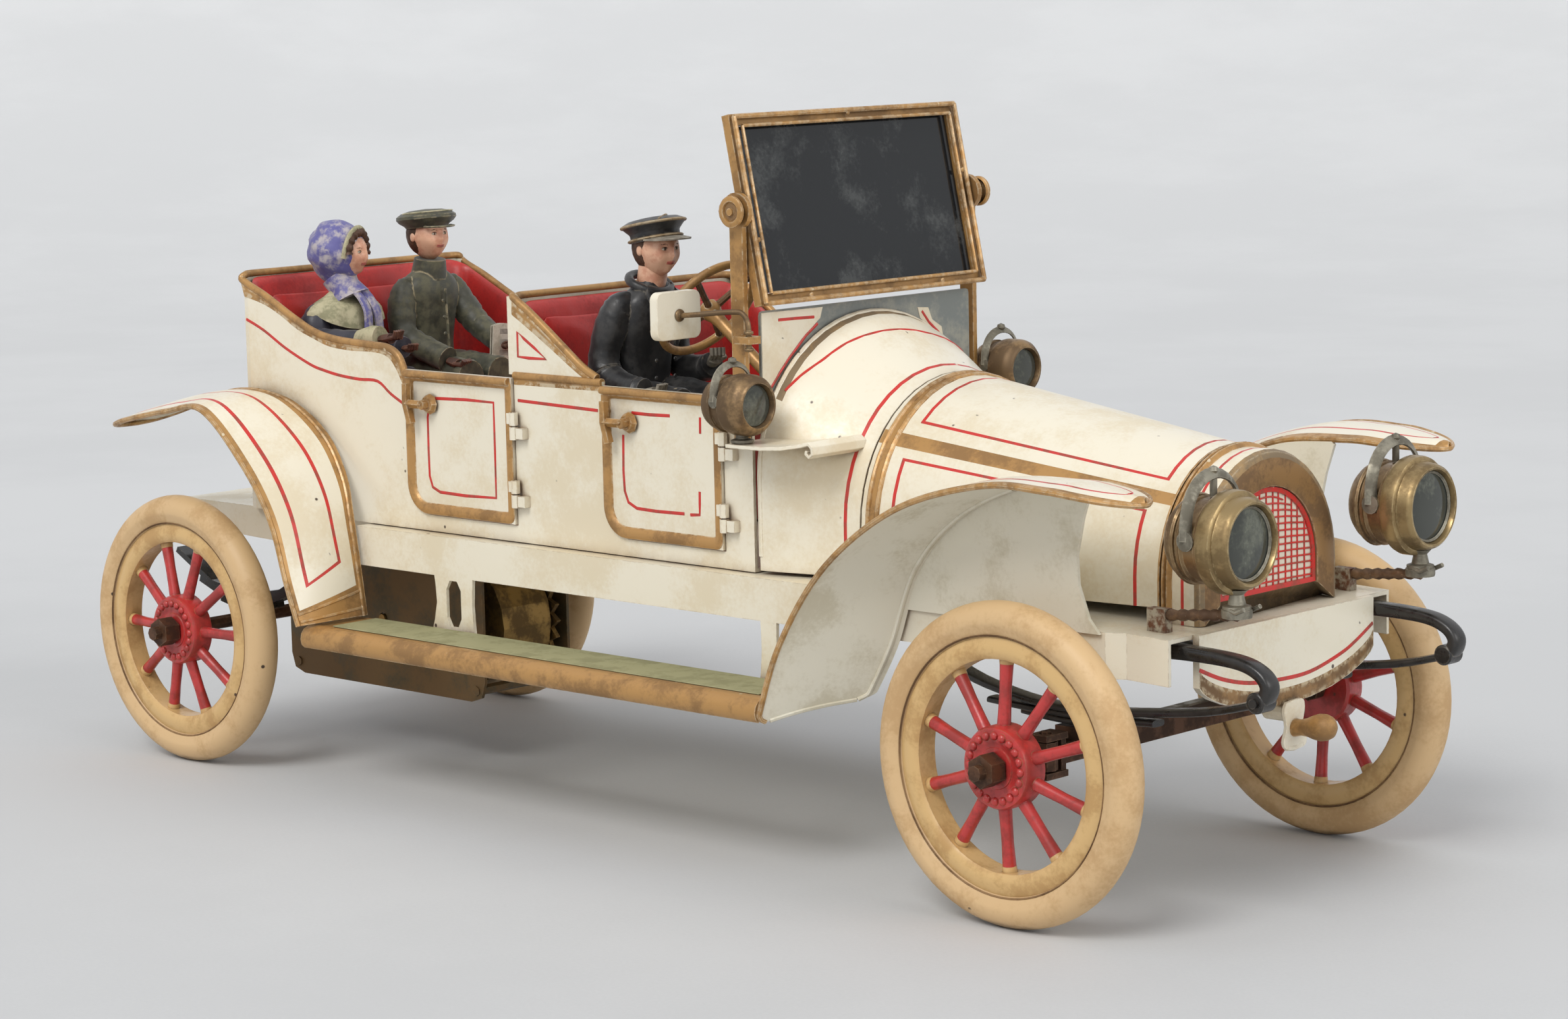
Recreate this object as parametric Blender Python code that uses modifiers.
"""Tin toy touring car: a clockwork open tourer with opening doors, lamps, a windscreen and three riders.

Blender 4.5, metres, +Z up. +X is the front of the car and -Y its right-hand side, where the driver sits.
Every piece is modelled with the rear axle at x = 0 and hangs from the empty car_frame, which puts the origin
on the ground under the middle of the car.
"""

import math

import bmesh
import bpy
from mathutils import Matrix, Vector

# Clearances and tin
GAP = 0.0003
RUNNING_GAP = 0.0004
TIN = 0.0010

# Sizes that drive the rest
WHEELBASE = 0.3203
TRACK = 0.1278
TYRE_RADIUS = 0.0400
BODY_HALF_WIDTH = 0.0440
AXLE_Z = TYRE_RADIUS
WHEEL_Y = TRACK / 2

# Wheels and tyres
TYRE_SECTION = 0.0048
TYRE_SEAT_RADIUS = 0.0322
FELLOE_INNER_RADIUS = 0.0262
HUB_RADIUS = 0.0103
HUB_THICKNESS = 0.0072
HUB_STAND_OUT = 0.0017
SPOKE_COUNT = 10
WHEEL_STEPS = 24
SPOKE_RADIUS = 0.0016
AXLE_RADIUS = 0.0020
AXLE_END = WHEEL_Y + 0.0129
NUT_RADIUS = 0.0042
NUT_THICKNESS = 0.0050

# Chassis pan
PAN_SKIN = 0.0012
CHASSIS_BOTTOM = AXLE_Z + 0.0230
CHASSIS_TOP = CHASSIS_BOTTOM + 0.0113
FLOOR_Z = CHASSIS_TOP + GAP
CHASSIS_HALF_WIDTH = BODY_HALF_WIDTH + 0.0047
CHASSIS_REAR_HALF_WIDTH = BODY_HALF_WIDTH - 0.0040
CHASSIS_REAR_END = -0.0300
CHASSIS_STEP_X = 0.0620
CHASSIS_SLOPE_X = WHEELBASE - 0.0453
CHASSIS_NARROW_X = WHEELBASE + 0.0177
CHASSIS_FRONT_X = WHEELBASE + 0.0342
CHASSIS_FRONT_HALF_WIDTH = CHASSIS_HALF_WIDTH - 0.0032
CHASSIS_FRONT_TOP = CHASSIS_TOP - 0.0030
CHASSIS_FRONT_BOTTOM = CHASSIS_BOTTOM - 0.0030
APRON_X = CHASSIS_FRONT_X + 0.0019
APRON_HALF_WIDTH = 0.0360
APRON_END_Z = CHASSIS_FRONT_BOTTOM - 0.0015
APRON_LOW_Z = CHASSIS_FRONT_BOTTOM - 0.0107

# Body
BODY_REAR_X = 0.0057
DOOR_LENGTH = 0.0450
REAR_PANEL = 0.0754
MIDDLE_PANEL = 0.0359
FRONT_PANEL = 0.0107
REAR_DOOR_X = BODY_REAR_X + REAR_PANEL
FRONT_DOOR_X = REAR_DOOR_X + DOOR_LENGTH + MIDDLE_PANEL
BODY_FRONT_X = FRONT_DOOR_X + DOOR_LENGTH + FRONT_PANEL
BODY_CORNER_RADIUS = 0.0045
BACK_RIM_Z = FLOOR_Z + 0.0699
MID_RIM_Z = FLOOR_Z + 0.0684
RAIL_Z = FLOOR_Z + 0.0468
SILL_Z = FLOOR_Z + 0.0049
DOOR_TOP_Z = RAIL_Z - 0.0010
DOOR_THICKNESS = 0.0012
DOOR_CORNER_RADIUS = 0.0085
DOOR_STAND_OUT = 0.0003
BEAD_RADIUS = 0.0011
HINGE_STAND_OUT = 0.0017
HINGE_SETBACK = 0.0015
HINGE_RADIUS = 0.0013
HINGE_PIN_RADIUS = 0.0005
HINGE_LENGTH = 0.0076
HINGE_LOW_Z = SILL_Z + 0.0050
HINGE_HIGH_Z = SILL_Z + 0.0240
PARTITION_X = REAR_DOOR_X + DOOR_LENGTH - 0.0016
HANDLE_INSET = 0.0110
HANDLE_DROP = 0.0092

# Seats
REAR_CUSHION_Z = FLOOR_Z + 0.0284
FRONT_CUSHION_Z = FLOOR_Z + 0.0304
REAR_CUSHION_FRONT = REAR_DOOR_X - 0.0231
FRONT_CUSHION_FRONT = FRONT_DOOR_X - 0.0030
LINING = 0.0016
BACK_PADDING = 0.0032
CUSHION_SKIN = 0.0030
CUSHION_EDGE = 0.0006
CUSHION_CROWN = 0.0022
CUSHION_TUCK = 0.0014
CUSHION_LIP = 0.0012
SQUAB_MARGIN = 0.0040
SQUAB_BULGE = 0.0022

# Dash, scuttle, bonnet and radiator
DASH_X = BODY_FRONT_X + 0.0009
DASH_THICKNESS = 0.0008
DASH_HALF_WIDTH = BODY_HALF_WIDTH - 0.0027
DASH_TOP_Z = MID_RIM_Z - 0.0002
SCUTTLE_HALF_WIDTH = BODY_HALF_WIDTH - 0.0010
SCUTTLE_SPRING_Z = FLOOR_Z + 0.0254
SCUTTLE_TOP_Z = FLOOR_Z + 0.0644
BONNET_REAR_X = DASH_X + 0.0314
BONNET_REAR_HALF_WIDTH = SCUTTLE_HALF_WIDTH - 0.0060
BONNET_REAR_SPRING_Z = FLOOR_Z + 0.0134
BONNET_REAR_TOP_Z = FLOOR_Z + 0.0497
BONNET_FRONT_X = CHASSIS_FRONT_X - 0.0155
BONNET_FRONT_HALF_WIDTH = BONNET_REAR_HALF_WIDTH - 0.0090
BONNET_FRONT_SPRING_Z = CHASSIS_FRONT_TOP + 0.0107
BONNET_FRONT_TOP_Z = CHASSIS_FRONT_TOP + 0.0399
RADIATOR_FRONT_X = CHASSIS_FRONT_X - 0.0035
GRILLE_HALF_WIDTH = BONNET_FRONT_HALF_WIDTH - 0.0082
GRILLE_LOW_Z = CHASSIS_FRONT_TOP + 0.0053
GRILLE_SPRING_Z = GRILLE_LOW_Z + 0.0060
GRILLE_THICKNESS = 0.0012
GRILLE_POCKET = 0.0020

# Windscreen
SCREEN_PIVOT_X = BODY_FRONT_X - 0.0022
SCREEN_PIVOT_Z = RAIL_Z + 0.0476
SCREEN_LEAN = math.radians(12.0)
SCREEN_HALF_WIDTH = BODY_HALF_WIDTH - 0.0002
SCREEN_BELOW_PIVOT = 0.0252
SCREEN_ABOVE_PIVOT = 0.0250
SCREEN_BAR = 0.0030
SCREEN_DEPTH = 0.0026
SCREEN_GLASS = 0.0010
SCREEN_PIN_RADIUS = 0.0014
STANCHION_THICKNESS = 0.0016
STANCHION_WIDTH = 0.0046
STANCHION_LOW_Z = RAIL_Z - 0.0134
STANCHION_EYE_RADIUS = 0.0048
KNOB_RADIUS = 0.0034
KNOB_LENGTH = 0.0024

# Steering
COLUMN_RAKE = math.radians(37.2)
STEERING_X = FRONT_DOOR_X + 0.0169
STEERING_Y = -0.0200
STEERING_Z = RAIL_Z + 0.0189
STEERING_RADIUS = 0.0152
STEERING_RIM = 0.0012
COLUMN_RADIUS = 0.0018
COLUMN_LENGTH = 0.0560
KINGPIN_Y = WHEEL_Y - 0.0139
KINGPIN_RADIUS = 0.0012
KNUCKLE_RADIUS = 0.0030
KNUCKLE_HEIGHT = 0.0070
FORK_LUG = 0.0016
STEERING_ARM = 0.0140
ARM_THICKNESS = 0.0014
BEAM_HEIGHT = 0.0050
BEAM_DEPTH = 0.0042

# Springs and dumb irons
SPRING_Y = 0.0390
SPRING_WIDTH = 0.0053
LEAF = 0.0015
FRONT_REACH = WHEELBASE + 0.0612
DUMB_IRON_BAR = 0.0042
DUMB_IRON_TOP_Z = CHASSIS_FRONT_TOP - 0.0018
FRONT_SPRING_LOW_Z = AXLE_Z + 0.0100
FRONT_SPRING_REAR_X = WHEELBASE - 0.0423
FRONT_SPRING_END_Z = FRONT_SPRING_LOW_Z + 0.0085
REAR_SPRING_HALF = 0.0330
REAR_SPRING_END_Z = CHASSIS_BOTTOM - 0.0050

# Clockwork motor
GEAR_MODULE = 0.0015
GREAT_TEETH = 27
FIRST_PINION_TEETH = 7
FIRST_WHEEL_TEETH = 17
SECOND_PINION_TEETH = 7
SECOND_WHEEL_TEETH = 16
AXLE_PINION_TEETH = 7
GEAR_THICKNESS = 0.0016
GREAT_WHEEL_Y = 0.0112
FIRST_WHEEL_Y = 0.0138
SECOND_WHEEL_Y = -0.0130
ARBOR_RADIUS = 0.0014
DRUM_RADIUS = 0.0198
DRUM_HALF_WIDTH = 0.0094
PLATE_Y = 0.0168
PLATE_BOTTOM_Z = AXLE_Z - 0.0210
PLATE_REAR_X = -0.0090
PLATE_FRONT_X = 0.0800
PLATE_CORNER_RADIUS = 0.0060
PILLAR_RADIUS = 0.0015
PILLAR_INSET = 0.0035

# Starting crank
CRANK_Z = CHASSIS_FRONT_BOTTOM - 0.0125
CRANK_THROW = 0.0040
CRANK_SHAFT_RADIUS = 0.0012
CRANK_GRIP_RADIUS = 0.0026
CRANK_GRIP_LENGTH = 0.0112

# Mudguards
GUARD_OUTER_Y = WHEEL_Y + 0.0101
GUARD_THICKNESS = 0.0009
GUARD_CROWN = 0.0014
VALANCE_Y = CHASSIS_HALF_WIDTH + GAP

# Running boards
BOARD_REAR_X = 0.0640
BOARD_FRONT_X = WHEELBASE - 0.0763
BOARD_INNER_Y = CHASSIS_HALF_WIDTH + 0.0013
BOARD_OUTER_Y = GUARD_OUTER_Y - 0.0020
BOARD_TOP_Z = CHASSIS_BOTTOM - 0.0150
BOARD_THICKNESS = 0.0012
BOARD_LIP = 0.0050
REAR_BRACKET_X = 0.1035
FRONT_BRACKET_X = BOARD_FRONT_X - 0.0175

# Lamps
HEADLAMP_X = CHASSIS_FRONT_X + 0.0190
HEADLAMP_Y = 0.0375
HEADLAMP_Z = CHASSIS_FRONT_TOP + 0.0237
HEADLAMP_RADIUS = 0.0125
HEADLAMP_BODY_RADIUS = 0.0106
HEADLAMP_LENGTH = 0.0220
HEADLAMP_BEZEL = 0.0115
HEADLAMP_GLASS_RADIUS = 0.0087
LAMP_STRAP = 0.0011
SIDELAMP_X = DASH_X + 0.0108
SIDELAMP_Y = BODY_HALF_WIDTH + 0.0085
SHELF_Z = RAIL_Z - 0.0119
SIDELAMP_Z = SHELF_Z + 0.0105
SIDELAMP_RADIUS = 0.0080
SIDELAMP_BODY_RADIUS = 0.0070
SIDELAMP_LENGTH = 0.0167
SIDELAMP_BEZEL = 0.0075
SIDELAMP_GLASS_RADIUS = 0.0052

# Mirror
MIRROR_X = BODY_FRONT_X - 0.0177
MIRROR_Y = -BODY_HALF_WIDTH - 0.0094
MIRROR_Z = RAIL_Z + 0.0206
MIRROR_WIDTH = 0.0160
MIRROR_HEIGHT = 0.0126
MIRROR_DEPTH = 0.0030
MIRROR_ARM_X = SCREEN_PIVOT_X + 0.0057
MIRROR_ARM_Y = -BODY_HALF_WIDTH - 0.0040
MIRROR_WIRE = 0.0007
MIRROR_ARM_LOW_Z = RAIL_Z + 0.0116

# Riders
DRIVER_X = FRONT_DOOR_X - 0.0140
DRIVER_Y = STEERING_Y
LADY_X = BODY_REAR_X + 0.0163
LADY_Y = -0.0205
MAN_X = BODY_REAR_X + 0.0173
MAN_Y = 0.0125
HEAD_RADIUS = 0.0068

# Places worked out from the sizes above
CUT_TOP_Z = BACK_RIM_Z + 0.0500
REAR_AXLE_X = (TYRE_RADIUS - FRONT_REACH) / 2
FELLOE_RADIUS = TYRE_SEAT_RADIUS - GAP
HUB_Y = WHEEL_Y + HUB_STAND_OUT
REAR_DOOR_END = REAR_DOOR_X + DOOR_LENGTH
FRONT_DOOR_END = FRONT_DOOR_X + DOOR_LENGTH
HINGE_Y = BODY_HALF_WIDTH + HINGE_STAND_OUT

SMOOTH_ANGLE = math.radians(38.0)
SIDE_PLANE = Matrix(((1, 0, 0, 0), (0, 0, -1, 0), (0, 1, 0, 0), (0, 0, 0, 1)))
CROSS_PLANE = Matrix(((0, 0, 1, 0), (1, 0, 0, 0), (0, 1, 0, 0), (0, 0, 0, 1)))
PLAN_PLANE = Matrix.Identity(4)

CREAM = (0.80, 0.75, 0.62)
GOLD = (0.50, 0.33, 0.12)
RED = (0.55, 0.03, 0.03)
TAN = (0.60, 0.43, 0.22)
BLACK = (0.02, 0.02, 0.022)
BRASS = (0.45, 0.34, 0.16)
STEEL = (0.25, 0.23, 0.20)
BROWN = (0.14, 0.09, 0.06)
GREEN = (0.36, 0.42, 0.26)


def clear_scene():
    for obj in list(bpy.data.objects):
        bpy.data.objects.remove(obj, do_unlink=True)


def new_collection(name):
    found = bpy.data.collections.new(name)
    bpy.context.scene.collection.children.link(found)
    return found


def paint(name, colour, roughness=0.5, metallic=0.0):
    found = bpy.data.materials.new(name)
    found.use_nodes = True
    shader = found.node_tree.nodes["Principled BSDF"]
    shader.inputs["Base Color"].default_value = (*colour, 1.0)
    shader.inputs["Roughness"].default_value = roughness
    shader.inputs["Metallic"].default_value = metallic
    return found


def evaluated_mesh(obj):
    graph = bpy.context.evaluated_depsgraph_get()
    return bpy.data.meshes.new_from_object(obj.evaluated_get(graph))


def solid_from(bm, name="shape"):
    bmesh.ops.remove_doubles(bm, verts=bm.verts, dist=1e-6)
    bmesh.ops.recalc_face_normals(bm, faces=bm.faces)
    mesh = bpy.data.meshes.new(name)
    bm.to_mesh(mesh)
    bm.free()
    obj = bpy.data.objects.new(name, mesh)
    PARTS.objects.link(obj)
    return obj


def bake(obj):
    """Turn an object's modifiers into its own mesh, with its caps welded and its faces pointing out."""
    mesh = evaluated_mesh(obj)
    bm = bmesh.new()
    bm.from_mesh(mesh)
    bpy.data.meshes.remove(mesh)
    bm.transform(obj.matrix_world)
    bpy.data.objects.remove(obj, do_unlink=True)
    return solid_from(bm)


def block(low, high):
    low = Vector(low)
    high = Vector(high)
    bm = bmesh.new()
    size = Matrix.Diagonal((*(high - low), 1.0))
    bmesh.ops.create_cube(bm, size=1.0, matrix=Matrix.Translation((low + high) / 2) @ size)
    return solid_from(bm)


def rod(start, end, radius, end_radius=None, sides=12):
    start = Vector(start)
    end = Vector(end)
    run = end - start
    turn = Vector((0, 0, 1)).rotation_difference(run).to_matrix().to_4x4()
    bm = bmesh.new()
    bmesh.ops.create_cone(
        bm,
        cap_ends=True,
        segments=sides,
        radius1=radius,
        radius2=radius if end_radius is None else end_radius,
        depth=run.length,
        matrix=Matrix.Translation((start + end) / 2) @ turn,
    )
    return solid_from(bm)


def ball(centre, radii, across=8, down=5, tilt=0.0):
    bm = bmesh.new()
    turn = Matrix.Rotation(tilt, 4, "Y")
    size = Matrix.Diagonal((*radii, 1.0))
    bmesh.ops.create_uvsphere(
        bm,
        u_segments=across,
        v_segments=down,
        radius=1.0,
        matrix=Matrix.Translation(centre) @ turn @ size,
    )
    return solid_from(bm)


def plate(outline, low, high, plane, holes=()):
    """A flat outline, drawn as a filled 2D curve and extruded between two depths of its plane."""
    curve = bpy.data.curves.new("outline", "CURVE")
    curve.dimensions = "2D"
    curve.fill_mode = "BOTH"
    curve.extrude = abs(high - low) / 2
    for loop in (outline, *holes):
        spline = curve.splines.new("POLY")
        spline.points.add(len(loop) - 1)
        for point, (u, v) in zip(spline.points, loop):
            point.co = (u, v, 0.0, 1.0)
        spline.use_cyclic_u = True
    obj = bpy.data.objects.new("outline", curve)
    PARTS.objects.link(obj)
    middle = (low + high) / 2
    depth = -middle if plane == SIDE_PLANE else middle
    obj.matrix_world = plane @ Matrix.Translation((0.0, 0.0, depth))
    bpy.context.view_layer.update()
    return bake(obj)


def turned(profile, start, direction, steps=24, closed=False):
    """A profile of (distance along the axis, radius) turned about an axis from start along direction."""
    mesh = bpy.data.meshes.new("profile")
    points = [(radius, 0.0, along) for along, radius in profile]
    edges = [(i, i + 1) for i in range(len(points) - 1)]
    if closed:
        edges.append((len(points) - 1, 0))
    mesh.from_pydata(points, edges, [])
    obj = bpy.data.objects.new("profile", mesh)
    PARTS.objects.link(obj)
    screw = obj.modifiers.new("turn", "SCREW")
    screw.steps = steps
    screw.render_steps = steps
    screw.use_merge_vertices = True
    screw.merge_threshold = 1e-6
    turn = Vector((0, 0, 1)).rotation_difference(Vector(direction)).to_matrix().to_4x4()
    obj.matrix_world = Matrix.Translation(start) @ turn
    bpy.context.view_layer.update()
    return bake(obj)


def wire(points, radius, resolution=1):
    """A round wire along points, closed at both ends."""
    curve = bpy.data.curves.new("wire", "CURVE")
    curve.dimensions = "3D"
    curve.bevel_depth = radius
    curve.bevel_resolution = resolution
    curve.use_fill_caps = True
    spline = curve.splines.new("POLY")
    spline.points.add(len(points) - 1)
    for point, place in zip(spline.points, points):
        point.co = (*place, 1.0)
    obj = bpy.data.objects.new("wire", curve)
    PARTS.objects.link(obj)
    bpy.context.view_layer.update()
    return bake(obj)


def sheet(rows, thickness):
    """A curved sheet of tin through rows of points, thickened evenly on both sides."""
    bm = bmesh.new()
    grid = [[bm.verts.new(point) for point in row] for row in rows]
    for first, second in zip(grid, grid[1:]):
        for a, b, c, d in zip(first, first[1:], second[1:], second):
            bm.faces.new((a, b, c, d))
    bmesh.ops.remove_doubles(bm, verts=bm.verts, dist=1e-6)
    bmesh.ops.recalc_face_normals(bm, faces=bm.faces)
    mesh = bpy.data.meshes.new("sheet")
    bm.to_mesh(mesh)
    bm.free()
    obj = bpy.data.objects.new("sheet", mesh)
    PARTS.objects.link(obj)
    tin = obj.modifiers.new("tin", "SOLIDIFY")
    tin.thickness = thickness
    tin.offset = 0.0
    return bake(obj)


def loft(rings):
    """A closed solid through rings with equal counts of points, capped at both ends."""
    bm = bmesh.new()
    loops = [[bm.verts.new(point) for point in ring] for ring in rings]
    for first, second in zip(loops, loops[1:]):
        count = len(first)
        for i in range(count):
            j = (i + 1) % count
            bm.faces.new((first[i], first[j], second[j], second[i]))
    bm.faces.new(loops[0])
    bm.faces.new(loops[-1])
    return solid_from(bm)


def combine(obj, others, operation):
    tools = bpy.data.collections.new("tools")
    bpy.context.scene.collection.children.link(tools)
    for other in others:
        PARTS.objects.unlink(other)
        tools.objects.link(other)
    change = obj.modifiers.new(operation.lower(), "BOOLEAN")
    change.operation = operation
    change.solver = "EXACT"
    change.operand_type = "COLLECTION"
    change.collection = tools
    result = bake(obj)
    for other in list(others):
        bpy.data.objects.remove(other, do_unlink=True)
    bpy.data.collections.remove(tools)
    return result


def fuse(*pieces):
    return combine(pieces[0], pieces[1:], "UNION")


def common(first, second):
    change = first.modifiers.new("common", "BOOLEAN")
    change.operation = "INTERSECT"
    change.solver = "EXACT"
    change.object = second
    result = bake(first)
    bpy.data.objects.remove(second, do_unlink=True)
    return result


def cut(obj, *cutters):
    """Cutters stay in their own collection, and the cut stays a live modifier on the piece."""
    for cutter in cutters:
        cutter.name = "cutter"
        cutter.hide_render = True
        cutter.display_type = "WIRE"
        PARTS.objects.unlink(cutter)
        CUTTERS.objects.link(cutter)
        hole = obj.modifiers.new("hole", "BOOLEAN")
        hole.operation = "DIFFERENCE"
        hole.solver = "EXACT"
        hole.object = cutter
    return obj


def place(obj, name, material, origin=(0.0, 0.0, 0.0)):
    """Give a piece its name and material, and put its origin on its joint's axis."""
    obj.name = name
    obj.data.name = name
    obj.data.materials.clear()
    obj.data.materials.append(material)
    obj.data.shade_smooth()
    obj.data.set_sharp_from_angle(angle=SMOOTH_ANGLE)
    obj.data.transform(Matrix.Translation(-Vector(origin)))
    obj.location = Vector(origin)
    obj.parent = CAR
    for change in obj.modifiers:
        if change.type == "BOOLEAN" and change.object is not None:
            change.object.parent = CAR
    return obj


def left_copy(right, name):
    """The left-hand piece of a pair: the right-hand one mirrored in the car's middle plane."""
    bpy.context.view_layer.update()
    mesh = evaluated_mesh(right)
    bm = bmesh.new()
    bm.from_mesh(mesh)
    bpy.data.meshes.remove(mesh)
    bm.transform(Matrix.Diagonal((1.0, -1.0, 1.0, 1.0)))
    obj = solid_from(bm, name)
    where = right.location
    return place_copy(obj, name, right.data.materials[0], (where.x, -where.y, where.z))


def place_copy(obj, name, material, location):
    placed = place(obj, name, material)
    placed.location = Vector(location)
    return placed


def arc(centre, radius, first, last, steps):
    """Points on a circle, from the first angle to the last, in degrees."""
    points = []
    for i in range(steps + 1):
        angle = math.radians(first + (last - first) * i / steps)
        points.append((centre[0] + radius * math.cos(angle), centre[1] + radius * math.sin(angle)))
    return points


def smooth(points, steps=4):
    """A soft line through a few points."""
    ends = [points[0], *points, points[-1]]
    line = []
    for p, q, r, s in zip(ends, ends[1:], ends[2:], ends[3:]):
        for i in range(steps):
            t = i / steps
            line.append(tuple(soft_between(p[k], q[k], r[k], s[k], t) for k in range(len(q))))
    line.append(tuple(points[-1]))
    return line


def soft_between(p, q, r, s, t):
    pull = (r - p) * t + (2 * p - 5 * q + 4 * r - s) * t * t + (3 * q - p - 3 * r + s) * t * t * t
    return q + pull / 2


def rounded(points, radius, steps=3):
    """A closed outline with every corner rounded to the radius."""
    line = []
    count = len(points)
    for i, corner in enumerate(points):
        here = Vector(corner)
        back = (Vector(points[i - 1]) - here).normalized() * radius
        ahead = (Vector(points[(i + 1) % count]) - here).normalized() * radius
        for j in range(steps + 1):
            t = j / steps
            point = here + back * (1 - t) ** 2 + ahead * t**2
            line.append((point.x, point.y))
    return line


def strap_outline(points, thickness):
    """The closed outline of a strip of even thickness bent along a line of points."""
    upper = []
    lower = []
    for i, point in enumerate(points):
        before = points[max(i - 1, 0)]
        after = points[min(i + 1, len(points) - 1)]
        along = (Vector(after) - Vector(before)).normalized()
        side = Vector((-along.y, along.x)) * (thickness / 2)
        upper.append(tuple(Vector(point) + side))
        lower.append(tuple(Vector(point) - side))
    return upper + lower[::-1]


def arch(half_width, spring_z, top_z, base_z, steps=10):
    """Half an ellipse on straight legs, from the right-hand foot over the top to the left-hand foot."""
    points = [(-half_width, base_z)]
    for i in range(steps + 1):
        angle = math.pi * (1 - i / steps)
        points.append((half_width * math.cos(angle), spring_z + (top_z - spring_z) * math.sin(angle)))
    points.append((half_width, base_z))
    return points


def gear_outline(teeth, x, z, first_tooth):
    """Straight-sided teeth on a wheel seen from the side; first_tooth is the angle of one tooth's middle."""
    pitch_radius = GEAR_MODULE * teeth / 2
    tip = pitch_radius + 0.66 * GEAR_MODULE
    root = pitch_radius - 1.15 * GEAR_MODULE
    half_pitch = math.pi / teeth
    points = []
    for i in range(teeth):
        middle = first_tooth + 2 * half_pitch * i
        for share, radius in ((-0.06, tip), (0.06, tip), (1.0, root)):
            angle = middle + share * half_pitch
            points.append((x + radius * math.cos(angle), z + radius * math.sin(angle)))
    return points


def gear(teeth, x, y, first_tooth):
    outline = gear_outline(teeth, x, AXLE_Z, first_tooth)
    return plate(outline, y - GEAR_THICKNESS / 2, y + GEAR_THICKNESS / 2, SIDE_PLANE)


def gap_facing_back(teeth):
    """The first tooth's angle on a wheel whose tooth space faces the rear of the car."""
    return math.pi + math.pi / teeth


def pitch_sum(first, second):
    return GEAR_MODULE * (first + second) / 2


SECOND_ARBOR_X = pitch_sum(AXLE_PINION_TEETH, SECOND_WHEEL_TEETH)
FIRST_ARBOR_X = SECOND_ARBOR_X + pitch_sum(SECOND_PINION_TEETH, FIRST_WHEEL_TEETH)
DRUM_X = FIRST_ARBOR_X + pitch_sum(FIRST_PINION_TEETH, GREAT_TEETH)


def spoked_wheel(x, first_spoke):
    middle = (x, -WHEEL_Y, AXLE_Z)
    half = 0.78 * TYRE_SECTION
    shoulder = (FELLOE_INNER_RADIUS + FELLOE_RADIUS) / 2
    profile = [
        (-half, FELLOE_RADIUS),
        (half, FELLOE_RADIUS),
        (half, shoulder),
        (0.0, FELLOE_INNER_RADIUS),
        (-half, shoulder),
    ]
    felloe = turned(profile, middle, (0, -1, 0), steps=WHEEL_STEPS, closed=True)
    bore = AXLE_RADIUS + GAP
    depth = HUB_THICKNESS / 2
    profile = [
        (-depth, bore),
        (-depth, 0.9 * HUB_RADIUS),
        (0.3 * depth, HUB_RADIUS),
        (depth, 0.55 * HUB_RADIUS),
        (depth, bore),
    ]
    hub = turned(profile, (x, -HUB_Y, AXLE_Z), (0, -1, 0), steps=12, closed=True)
    spokes = []
    for i in range(SPOKE_COUNT):
        angle = first_spoke + math.tau * i / SPOKE_COUNT
        out = Vector((math.cos(angle), 0.0, math.sin(angle)))
        start = Vector((x, -HUB_Y, AXLE_Z)) + out * (0.7 * HUB_RADIUS)
        end = Vector(middle) + out * (FELLOE_INNER_RADIUS + 2 * TIN)
        spokes.append(rod(start, end, SPOKE_RADIUS, 0.85 * SPOKE_RADIUS, sides=5))
    return fuse(felloe, hub, *spokes)


def tyre(x):
    centre_radius = TYRE_RADIUS - TYRE_SECTION
    dip = math.degrees(math.asin((TYRE_SEAT_RADIUS - centre_radius) / TYRE_SECTION))
    profile = arc((0.0, centre_radius), TYRE_SECTION, dip, 180.0 - dip, 5)
    return turned(profile, (x, -WHEEL_Y, AXLE_Z), (0, -1, 0), steps=WHEEL_STEPS, closed=True)


def axle_ends(x, inner_y):
    """One side's stub: a shouldered axle with its nut, from inner_y out to the threaded end."""
    shoulder = HUB_Y - HUB_THICKNESS / 2 - GAP
    nut = HUB_Y + HUB_THICKNESS / 2 + GAP
    return (
        rod((x, -inner_y, AXLE_Z), (x, -AXLE_END, AXLE_Z), AXLE_RADIUS, sides=8),
        rod((x, -shoulder + 0.0035, AXLE_Z), (x, -shoulder, AXLE_Z), 1.7 * AXLE_RADIUS, sides=8),
        rod((x, -nut, AXLE_Z), (x, -nut - NUT_THICKNESS, AXLE_Z), NUT_RADIUS, sides=6),
    )


def mirror_of(obj):
    bm = bmesh.new()
    bm.from_mesh(obj.data)
    bm.transform(Matrix.Diagonal((1.0, -1.0, 1.0, 1.0)))
    return solid_from(bm)


def make_wheels(steel, red, rubber):
    for place_name, x, first_spoke in (("rear", 0.0, math.radians(18)), ("front", WHEELBASE, 0.0)):
        hub_centre = (x, -WHEEL_Y, AXLE_Z)
        start = math.pi / 2 + first_spoke
        right = place(spoked_wheel(x, start), f"{place_name}_wheel_right", red, hub_centre)
        left_copy(right, f"{place_name}_wheel_left")
        right = place(tyre(x), f"{place_name}_tyre_right", rubber, hub_centre)
        left_copy(right, f"{place_name}_tyre_left")
    ends = axle_ends(0.0, 0.0)
    others = [mirror_of(piece) for piece in ends]
    pinion = gear(AXLE_PINION_TEETH, 0.0, SECOND_WHEEL_Y, 0.0)
    place(fuse(*ends, *others, pinion), "rear_axle", steel, (0.0, 0.0, AXLE_Z))


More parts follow.
